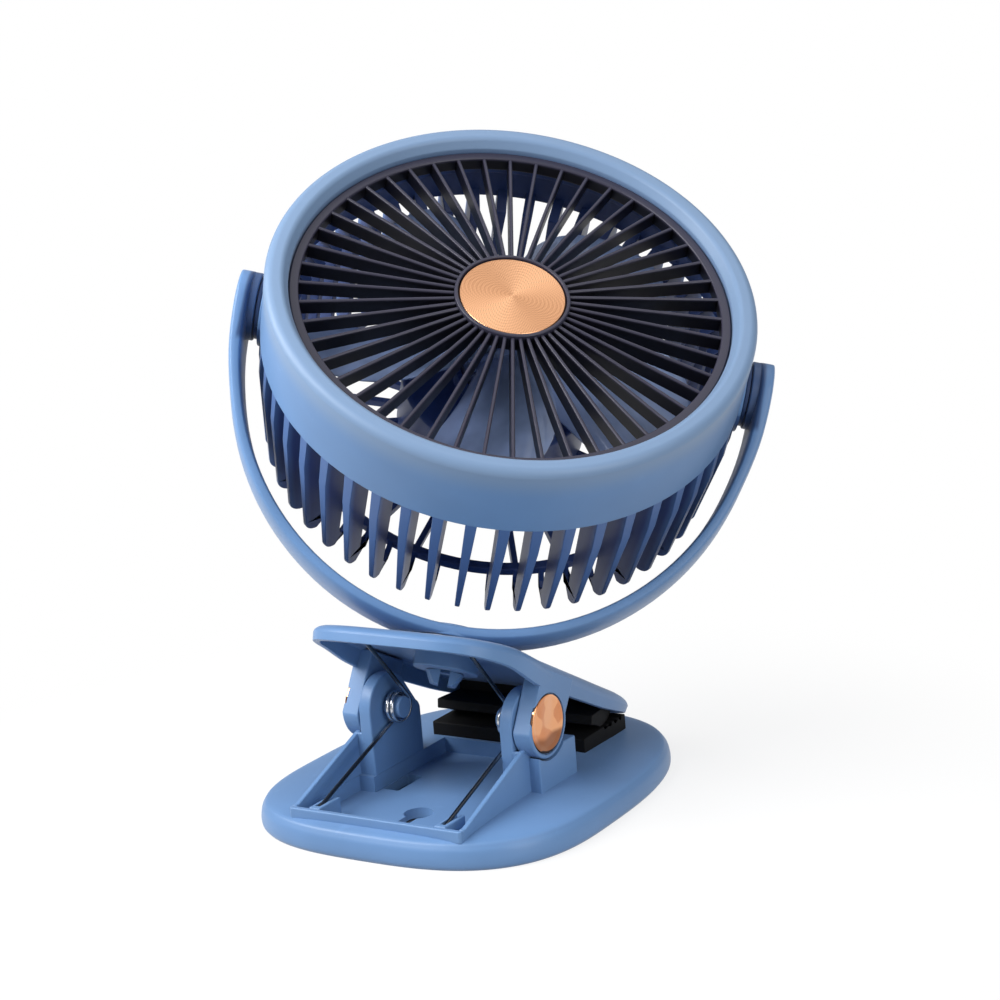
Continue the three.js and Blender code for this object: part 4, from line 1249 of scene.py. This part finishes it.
def slat(sizes, reach):
    """One slat and its spoke, from the band round the rear corner to a radius."""
    outer, ring_edge = sizes.drum_radius / MM - 0.1, RING_RADII[1]
    inner, top = outer - 10, BAND_DEPTH + 1
    end = REAR_DEPTH if reach < RING_RADII[0] else RING_DEPTH
    outline = [
        (inner, BAND_DEPTH - 4),
        (outer - 2.4, top),
        (outer, top),
        (outer, TAPER_START),
        *arc(outer - TIP_TAPER - SLAT_CORNER, TIP_DEPTH + SLAT_CORNER, SLAT_CORNER, 0, -90, 8),
        (ring_edge, RING_DEPTH),
        (reach, end),
        (reach, end + SPOKE),
        (ring_edge, RING_DEPTH + SPOKE),
        *arc(inner - 3, TIP_DEPTH + SPOKE + 4, 3, -90, 0, 5),
    ]
    form = extruded(outline, -0.5, 0.5, "z")
    for vertex in form.verts:
        radius, depth, share = vertex.co
        vertex.co = (radius, -depth, share * slat_width(depth))
    bmesh.ops.recalc_face_normals(form, faces=form.faces)
    return eased(form, 0.35, segments=2)


def rear_chamber():
    """The open cup that carries the motor in front and holds the cell and the board."""
    outer, front, wall = CHAMBER_RADIUS, CHAMBER_FRONT, 2
    collar_inner, collar_outer = MOTOR_RADIUS + 0.3, MOTOR_RADIUS + 2.2
    corners = [
        (outer, REAR_DEPTH, 0.5),
        (outer, front, 2.0),
        (collar_outer, front, 0.5),
        (collar_outer, front + 5, 0.4),
        (collar_inner, front + 5, 0.2),
        (collar_inner, front, 0),
        (4, front, 0),
        (4, front - wall, 0),
        (outer - wall, front - wall, 0.5),
        (outer - wall, REAR_DEPTH, 0.3),
    ]
    return turned(filleted(corners, closed=True, steps=5), "fan", 144, closed=True)


def rear_ring():
    """The ring that ties the spokes together."""
    inner, outer = RING_RADII
    low, high = RING_DEPTH - 0.1, RING_DEPTH + 3.2
    corners = [(outer, low, 0.5), (outer, high, 0.5), (inner, high, 0.5), (inner, low, 0.5)]
    return turned(filleted(corners, closed=True, steps=4), "fan", 144, closed=True)


def drum_form(sizes, finish):
    """The band, the slats, the chamber behind the motor and the pads that the arms turn on."""
    half = sizes.slats // 2
    middle_of_ring = sum(RING_RADII) / 2
    slats = round_the_fan(slat(sizes, middle_of_ring), half, finish, first=math.pi / half)
    spokes = round_the_fan(slat(sizes, CHAMBER_RADIUS - 1), half, finish)
    pads = mirrored(lambda span: rod("x", 13, *span(75, sizes.drum_radius / MM + 0.1), ease=0.4, steps=72))
    return together(drum_band(sizes), rear_chamber(), rear_ring(), slats, spokes, *pads)


def grille_form(sizes, finish):
    """The deep ribs, which slope down to their ring, round the disc's cup."""
    outer, inner, edge = sizes.mouth_radius / MM - 0.3, 70.9, GRILLE_TOP - GRILLE_FALL
    ring = [(inner, GRILLE_BASE, 0.3), (outer, GRILLE_BASE, 0.3), (outer, edge, 0.5), (inner, edge, 0.6)]
    cup, back, seat_radius, seat_depth = 19.5, 19.5, sizes.disc_radius / MM + 0.3, 24
    brim = GRILLE_TOP + 0.6
    hub = [(0, back, 0), (cup, back, 1.0), (cup, brim, 0.5)]
    hub += [(seat_radius, brim, 0.3), (seat_radius, seat_depth, 0), (0, seat_depth, 0)]
    wall, crest, foot = sizes.rib_wall / MM / 2, GRILLE_TOP - 0.3, GRILLE_TOP - 5.9
    corners = [(-wall, foot, 0.2), (wall, foot, 0.2), (wall, crest, 0.5), (-wall, crest, 0.5)]
    section = filleted(corners, closed=True, steps=3)
    ends = zip(RIB_SPAN, (0, GRILLE_FALL))
    rib = stack([[(radius, fall - depth, across) for across, depth in section] for radius, fall in ends])
    return together(
        turned(filleted(ring, closed=True, steps=4), "fan", 192, closed=True),
        turned(filleted(hub, steps=4), "fan", 96),
        round_the_fan(rib, sizes.ribs, finish),
    )


def disc_form(sizes):
    """The copper disc in its cup, with a slight crown."""
    radius, back, edge, crown = sizes.disc_radius / MM, 24.3, 26.05, 26.3
    return turned(filleted([(0, back, 0), (radius, back, 0), (radius, edge, 0.5), (0, crown, 0)]), "fan", 96)


def blade_form(index, sizes):
    """A petal-shaped sheet, skewed backwards and pitched more at the root than at the tip."""
    gap_angle, root, skew = 91.5, 7.4, math.radians(14)
    turn = math.radians(gap_angle + (index + 0.5) / sizes.blades * 360)
    rows = []
    stations, across = 26, 16
    for i in range(stations + 1):
        out = i / stations
        radius = mix(root, sizes.blade_radius / MM, out)
        tip = math.sqrt(1 - max(0, (out - 0.45) / 0.57) ** 2)
        chord = mix(16, 61, out) * tip
        sheet = []
        for k in range(across + 1):
            v = k / across - 0.5
            angle = turn + chord * v / radius + skew * (0.4 - out**2)
            depth = mix(3.4, 1, out) + v * chord * mix(0.66, 0.27, out) + 1.8 * (1 - 4 * v * v)
            wall = mix(2, 1.2, out) * math.sqrt(1 - (abs(2 * v) * 0.97) ** 6)
            sheet.append((radius * math.cos(angle), radius * math.sin(angle), depth, wall / 2))
        front = [(x, -(depth + half), z) for x, z, depth, half in sheet]
        back = [(x, -(depth - half), z) for x, z, depth, half in reversed(sheet)]
        rows.append(front + back)
    return stack(rows)


def impeller_form(sizes):
    """The blades round a stepped hub that is bored for the motor's shaft."""
    bore, collar, hub_radius, back, front = 1.3, 11.5, 8.2, -4.4, 11.6
    hub = [
        (bore, back, 0),
        (collar, back, 0.4),
        (collar, back + 2, 0.5),
        (hub_radius, back + 2.6, 0.8),
        (hub_radius, front, 1.6),
        (bore, front, 0),
    ]
    blades = [blade_form(index, sizes) for index in range(sizes.blades)]
    return together(turned(filleted(hub, closed=True, steps=5), "fan", 96, closed=True), *blades)


BUTTON_SPOT, PORT_SPOT, LIGHT_SPOT = (0, 11), (-13, 11), (13, 11)
COVER_SCREWS = [(0, -26.5), (-23.4, 12.6), (23.4, 12.6)]


def rear_cover_form():
    """The lid of the chamber, open for the button, the port and the light, with sunk screw seats."""
    edge, inside = CHAMBER_RADIUS - 2.3, REAR_DEPTH + 2
    disc = [(0, inside, 0), (edge, inside, 0), (edge, REAR_DEPTH, 0.7), (0, REAR_DEPTH, 0)]
    (port, port_height), half_length, half_opening = PORT_SPOT, 5, 2.2
    low, high = REAR_DEPTH - 1, REAR_DEPTH + 3
    left, right = port - half_length, port + half_length
    slot = [(left, -high), (right, -high), (right, -low), (left, -low)]
    tools = [
        rod("fan", 6.3, low, high, BUTTON_SPOT),
        extruded(slot, port_height - half_opening, port_height + half_opening, "z"),
        rod("fan", 1.8, low, high, LIGHT_SPOT),
        *[rod("fan", 2.8, low, REAR_DEPTH + 1, spot) for spot in COVER_SCREWS],
    ]
    lid = cut(turned(filleted(disc), "fan", 120), *tools)
    bmesh.ops.holes_fill(lid, edges=[edge for edge in lid.edges if edge.is_boundary], sides=0)
    return lid


def button_form():
    """A cap with a flange behind the cover, over the stem that presses the switch."""
    stem, flange, cap, shoulder = 2, 7, 6, -33.9
    corners = [
        (0, -30.6, 0),
        (stem, -30.6, 0.2),
        (stem, -32.7, 0),
        (flange, -32.7, 0.2),
        (flange, shoulder, 0.2),
        (cap, shoulder, 0),
        (cap, -37.6, 1.1),
        (0, -38.2, 0),
    ]
    return turned(filleted(corners), "fan", 72, BUTTON_SPOT)


# ------------------------------------------------------------------ operators


class CLIPFAN_OT_finishes(bpy.types.Operator):
    """Makes the finishes and puts them on the inner pieces"""

    bl_idname = "clipfan.finishes"
    bl_label = "Finishes"

    def execute(self, context):
        make_finishes(context.scene.clipfan_finishes)
        inner = {
            "dull_steel": ["tilt_pin_left", "tilt_pin_right", "motor_housing", "motor_shaft", "usb_port"],
            "board": ["circuit_board"],
            "black": ["tact_switch"],
            "sleeve": ["battery_cell"],
            "lens": ["charge_light"],
            "grille": ["shaft_cap"],
        }
        for finish, nodes in inner.items():
            for node in nodes:
                frame["nodes"][node].material_slots[0].material = FINISHES[finish]
        return {"FINISHED"}


class CLIPFAN_OT_base(bpy.types.Operator):
    """Makes the base plate, its bottom cover and the lower pad"""

    bl_idname = "clipfan.base"
    bl_label = "Base"

    def execute(self, context):
        sizes = context.scene.clipfan_clip
        blue, cover, rubber, steel = (FINISHES[key] for key in ("blue", "cover", "rubber", "dull_steel"))
        piece("base_moulding", base_form(sizes), GROUND, blue, "base", "body_blue", "base_plate")
        piece("base_underside", cover_form(sizes), GROUND, cover, "base", "body_blue", "bottom_cover")
        piece("grip_lower", lower_pad_form(sizes), GROUND, rubber, "base", "pad_black", "lower_pad")
        upside_down = GROUND @ Matrix.Rotation(math.pi, 4, "X")
        spots = [(x, -y, -0.9) for x, y in SCREW_SPOTS]
        heads = screws(spots, 2.8, upside_down, steel)
        nodes = [f"cover_screw_{index + 1}" for index in range(len(SCREW_SPOTS))]
        dress("base_screws", heads, steel, "base", "bright_steel", *nodes)
        return {"FINISHED"}


class CLIPFAN_OT_jaw(bpy.types.Operator):
    """Makes the upper jaw, its pad, the hinge pins and the copper caps"""

    bl_idname = "clipfan.jaw"
    bl_label = "Upper jaw"

    def execute(self, context):
        sizes = context.scene.clipfan_clip
        blue = FINISHES["blue"]
        piece("jaw_lever", jaw_form(sizes), JAW, blue, "jaw", "body_blue", "upper_jaw")
        piece("grip_upper", upper_pad_form(sizes), JAW, FINISHES["rubber"], "jaw", "pad_black", "upper_pad")
        for side, word in ((-1, "left"), (1, "right")):
            piece(f"pin_{word}", hinge_pin(side), GROUND, blue, "jaw", "body_blue", f"hinge_pin_{word}")
            cap = hinge_cap(side)
            piece(f"cap_{word}", cap, GROUND, FINISHES["mirror"], "jaw", "copper_trim", f"hinge_cap_{word}")
        return {"FINISHED"}


class CLIPFAN_OT_springs(bpy.types.Operator):
    """Winds the two torsion springs, whose legs run from the base to the jaw"""

    bl_idname = "clipfan.springs"
    bl_label = "Springs"

    def execute(self, context):
        for side in (-1, 1):
            clip_spring(side, context.scene.clipfan_clip, FINISHES["steel"])
        return {"FINISHED"}


class CLIPFAN_OT_yoke(bpy.types.Operator):
    """Makes the yoke, its swivel and the washers of its arms"""

    bl_idname = "clipfan.yoke"
    bl_label = "Yoke"

    def execute(self, context):
        sizes = context.scene.clipfan_head
        blue, navy = FINISHES["blue"], FINISHES["navy"]
        piece("yoke_loop", yoke_form(sizes), YOKE, FINISHES["yoke"], "yoke", "body_blue", "yoke")
        piece("swivel_snap", swivel_post_form(), YOKE, blue, "yoke", "body_blue", "swivel_post")
        ring = washer("z", 13, 5.2, -1.8, -0.3)
        piece("swivel_ring", ring, YOKE, FINISHES["white"], "yoke", "white_plastic", "swivel_washer")
        for side, word in ((-1, "left"), (1, "right")):
            low, high = sorted((side * 82.9, side * 84.2))
            form = washer("x", 10.8, 4.2, low, high, (0, PIVOT_HEIGHT))
            # The washers' dark blue is a painted shade.
            piece(f"arm_washer_{word}", form, YOKE, navy, "yoke", "pad_black", f"tilt_washer_{word}")
        return {"FINISHED"}


class CLIPFAN_OT_drum(bpy.types.Operator):
    """Makes the slatted drum with its rear cover and screws"""

    bl_idname = "clipfan.drum"
    bl_label = "Drum"

    def execute(self, context):
        sizes = context.scene.clipfan_head
        blue, shell, steel, white = (FINISHES[key] for key in ("blue", "drum", "dull_steel", "white"))
        piece("drum", drum_form(sizes, shell), HEAD, shell, "head", "body_blue", "drum_housing")
        piece("chamber_lid", rear_cover_form(), HEAD, blue, "head", "body_blue", "rear_cover")
        facing_back = HEAD @ Matrix.Rotation(-math.pi / 2, 4, "X")
        spots = [(x, -z, -REAR_DEPTH - 0.5) for x, z in COVER_SCREWS]
        heads = screws(spots, 2.4, facing_back, steel)
        nodes = [f"rear_screw_{index + 1}" for index in range(len(COVER_SCREWS))]
        dress("lid_screws", heads, steel, "head", "bright_steel", *nodes)
        piece("push_button", button_form(), HEAD, white, "button", "white_plastic", "speed_button")
        return {"FINISHED"}


class CLIPFAN_OT_grille(bpy.types.Operator):
    """Makes the front grille and its copper disc"""

    bl_idname = "clipfan.grille"
    bl_label = "Grille"

    def execute(self, context):
        sizes = context.scene.clipfan_head
        finish = FINISHES["grille"]
        piece("grille", grille_form(sizes, finish), HEAD, finish, "head", "grille_grey", "front_grille")
        piece("disc", disc_form(sizes), HEAD, FINISHES["turned"], "head", "copper_trim", "hub_disc")
        return {"FINISHED"}


class CLIPFAN_OT_impeller(bpy.types.Operator):
    """Makes the smoked impeller"""

    bl_idname = "clipfan.impeller"
    bl_label = "Impeller"

    def execute(self, context):
        form = impeller_form(context.scene.clipfan_head)
        piece("blades", form, HEAD, FINISHES["smoke"], "rotor", "blade_smoke", "impeller", smooth=50)
        return {"FINISHED"}


# ------------------------------------------------------------------ stage

CAMERA = {
    "azimuth": 32.86,
    "elevation": 12.60,
    "roll": -4.72,
    "distance": 757.16,
    "focal": 2318.84,  # in pixels, as aim_pixel is
    "aim": (0, 0, 110),
    "aim_pixel": (432.19, 486.04),
}
PICTURE = 1000  # pixels across
SENSOR = 36


def make_camera():
    """The photograph's view: the aim is a point that falls on the aim pixel."""
    azimuth, elevation, roll = (math.radians(CAMERA[k]) for k in ("azimuth", "elevation", "roll"))
    reach = math.cos(elevation)
    back = Vector((math.sin(azimuth) * reach, -math.cos(azimuth) * reach, math.sin(elevation)))
    level = Vector((math.cos(azimuth), math.sin(azimuth), 0))
    fall = (-back).cross(level)
    c, s = math.cos(roll), math.sin(roll)
    right, down = level * c - fall * s, level * s + fall * c
    distance, focal = CAMERA["distance"], CAMERA["focal"]
    u, v = CAMERA["aim_pixel"]
    centre = PICTURE / 2
    eye = Vector(CAMERA["aim"]) + back * distance
    eye -= right * (u - centre) * distance / focal + down * (v - centre) * distance / focal
    data = bpy.data.cameras.new("camera")
    data.sensor_width = SENSOR
    data.lens = focal * SENSOR / PICTURE
    camera = shown("camera", data)
    turn = Matrix((right, -down, back)).transposed().to_4x4()
    camera.matrix_world = Matrix.Translation(eye * MM) @ turn
    bpy.context.scene.camera = camera


def make_lamp(name, spot, aim, size, power):
    data = bpy.data.lights.new(name, "AREA")
    data.shape = "RECTANGLE"
    data.size, data.size_y = size
    data.energy = power
    lamp = shown(name, data)
    way = Vector(aim) - Vector(spot)
    lamp.matrix_world = Matrix.Translation(spot) @ way.to_track_quat("-Z", "Y").to_matrix().to_4x4()


def make_floor():
    """White paper that glows for the camera and in reflections, and takes a soft shadow near the object."""
    board = Board("floor_paper")
    path = board.add("ShaderNodeLightPath", {}, {})
    x, y, _ = board.split(board.coordinates)
    away = ((x * x + y * y) ** 0.5).between(0.10, 0.24)
    paper = board.add("ShaderNodeBsdfDiffuse", {}, {"Color": (0.45, 0.45, 0.45, 1)})
    glow = board.add("ShaderNodeEmission", {}, {"Color": (1, 1, 1, 1), "Strength": 1.0})
    sheet = board.add("ShaderNodeBsdfDiffuse", {}, {"Color": (0.9, 0.9, 0.9, 1)})
    bright = {0: away * 0.22 + 0.78, 1: sheet.outputs[0], 2: glow.outputs[0]}
    bright = board.add("ShaderNodeMixShader", {}, bright)
    seen = Signal(board, path.outputs["Is Camera Ray"]) + Signal(board, path.outputs["Is Glossy Ray"])
    surface = {0: seen.clipped(), 1: paper.outputs[0], 2: bright.outputs[0]}
    surface = board.add("ShaderNodeMixShader", {}, surface)
    board.add("ShaderNodeOutputMaterial", {}, {"Surface": surface.outputs[0]})
    form = bmesh.new()
    bmesh.ops.create_grid(form, x_segments=1, y_segments=1, size=6)
    mesh = mesh_of(form, "floor")
    mesh.materials.append(board.material)
    floor = shown("floor", mesh)


def make_world():
    """White for the camera, and a dimmer room for light and reflections."""
    world = bpy.data.worlds.new("studio")
    bpy.context.scene.world = world
    world.use_nodes = True
    nodes, links = world.node_tree.nodes, world.node_tree.links
    nodes.clear()
    path, seen = nodes.new("ShaderNodeLightPath"), nodes.new("ShaderNodeMixShader")
    links.new(path.outputs["Is Camera Ray"], seen.inputs[0])
    for socket, tone, strength in ((1, (0.90, 0.95, 1.0, 1), 0.30), (2, (1, 1, 1, 1), 1.0)):
        light = nodes.new("ShaderNodeBackground")
        light.inputs["Color"].default_value = tone
        light.inputs["Strength"].default_value = strength
        links.new(light.outputs[0], seen.inputs[socket])
    leave = nodes.new("ShaderNodeOutputWorld")
    links.new(seen.outputs[0], leave.inputs[0])


class CLIPFAN_OT_stage(bpy.types.Operator):
    """Makes the camera, the lamps, the world and the floor"""

    bl_idname = "clipfan.stage"
    bl_label = "Stage"

    def execute(self, context):
        context.scene.view_settings.view_transform = "Standard"
        make_camera()
        make_world()
        make_floor()
        aim = (0, 0.02, 0.11)
        make_lamp("key", (-0.24, -0.54, 0.64), aim, (0.45, 0.45), 5.4)
        make_lamp("left", (-0.42, -0.22, 0.42), aim, (0.3, 0.3), 2.6)
        make_lamp("fill", (0.95, -0.30, 0.45), aim, (0.5, 0.8), 5)
        make_lamp("top", (0.16, 0.23, 1.1), aim, (1.0, 1.0), 3.4)
        return {"FINISHED"}


# ------------------------------------------------------------------ panel and registration

OPERATORS = [
    CLIPFAN_OT_stage,
    CLIPFAN_OT_finishes,
    CLIPFAN_OT_base,
    CLIPFAN_OT_jaw,
    CLIPFAN_OT_springs,
    CLIPFAN_OT_yoke,
    CLIPFAN_OT_drum,
    CLIPFAN_OT_grille,
    CLIPFAN_OT_impeller,
]


class CLIPFAN_PT_panel(bpy.types.Panel):
    """Lists the fan's sizes, finishes and pieces"""

    bl_label = "Clip fan"
    bl_space_type = "VIEW_3D"
    bl_region_type = "UI"
    bl_category = "Clip fan"

    def draw(self, context):
        scene = context.scene
        groups = {"Clip": scene.clipfan_clip, "Head": scene.clipfan_head, "Finishes": scene.clipfan_finishes}
        for title, group in groups.items():
            column = self.layout.box().column()
            column.label(text=title)
            for name in group.__annotations__:
                column.prop(group, name)
        for operator in OPERATORS:
            self.layout.operator(operator.bl_idname)


GROUPS = [ClipFanClipSizes, ClipFanHeadSizes, ClipFanFinishes]
CLASSES = [*GROUPS, *OPERATORS, CLIPFAN_PT_panel]


def register():
    for cls in CLASSES:
        bpy.utils.register_class(cls)
    bpy.types.Scene.clipfan_clip = PointerProperty(type=ClipFanClipSizes)
    bpy.types.Scene.clipfan_head = PointerProperty(type=ClipFanHeadSizes)
    bpy.types.Scene.clipfan_finishes = PointerProperty(type=ClipFanFinishes)


def unregister():
    for name in ("clipfan_clip", "clipfan_head", "clipfan_finishes"):
        delattr(bpy.types.Scene, name)
    for cls in reversed(CLASSES):
        bpy.utils.unregister_class(cls)


def main():
    register()
    for operator in OPERATORS:
        family, name = operator.bl_idname.split(".")
        getattr(getattr(bpy.ops, family), name)()


if __name__ == "__main__":
    main()
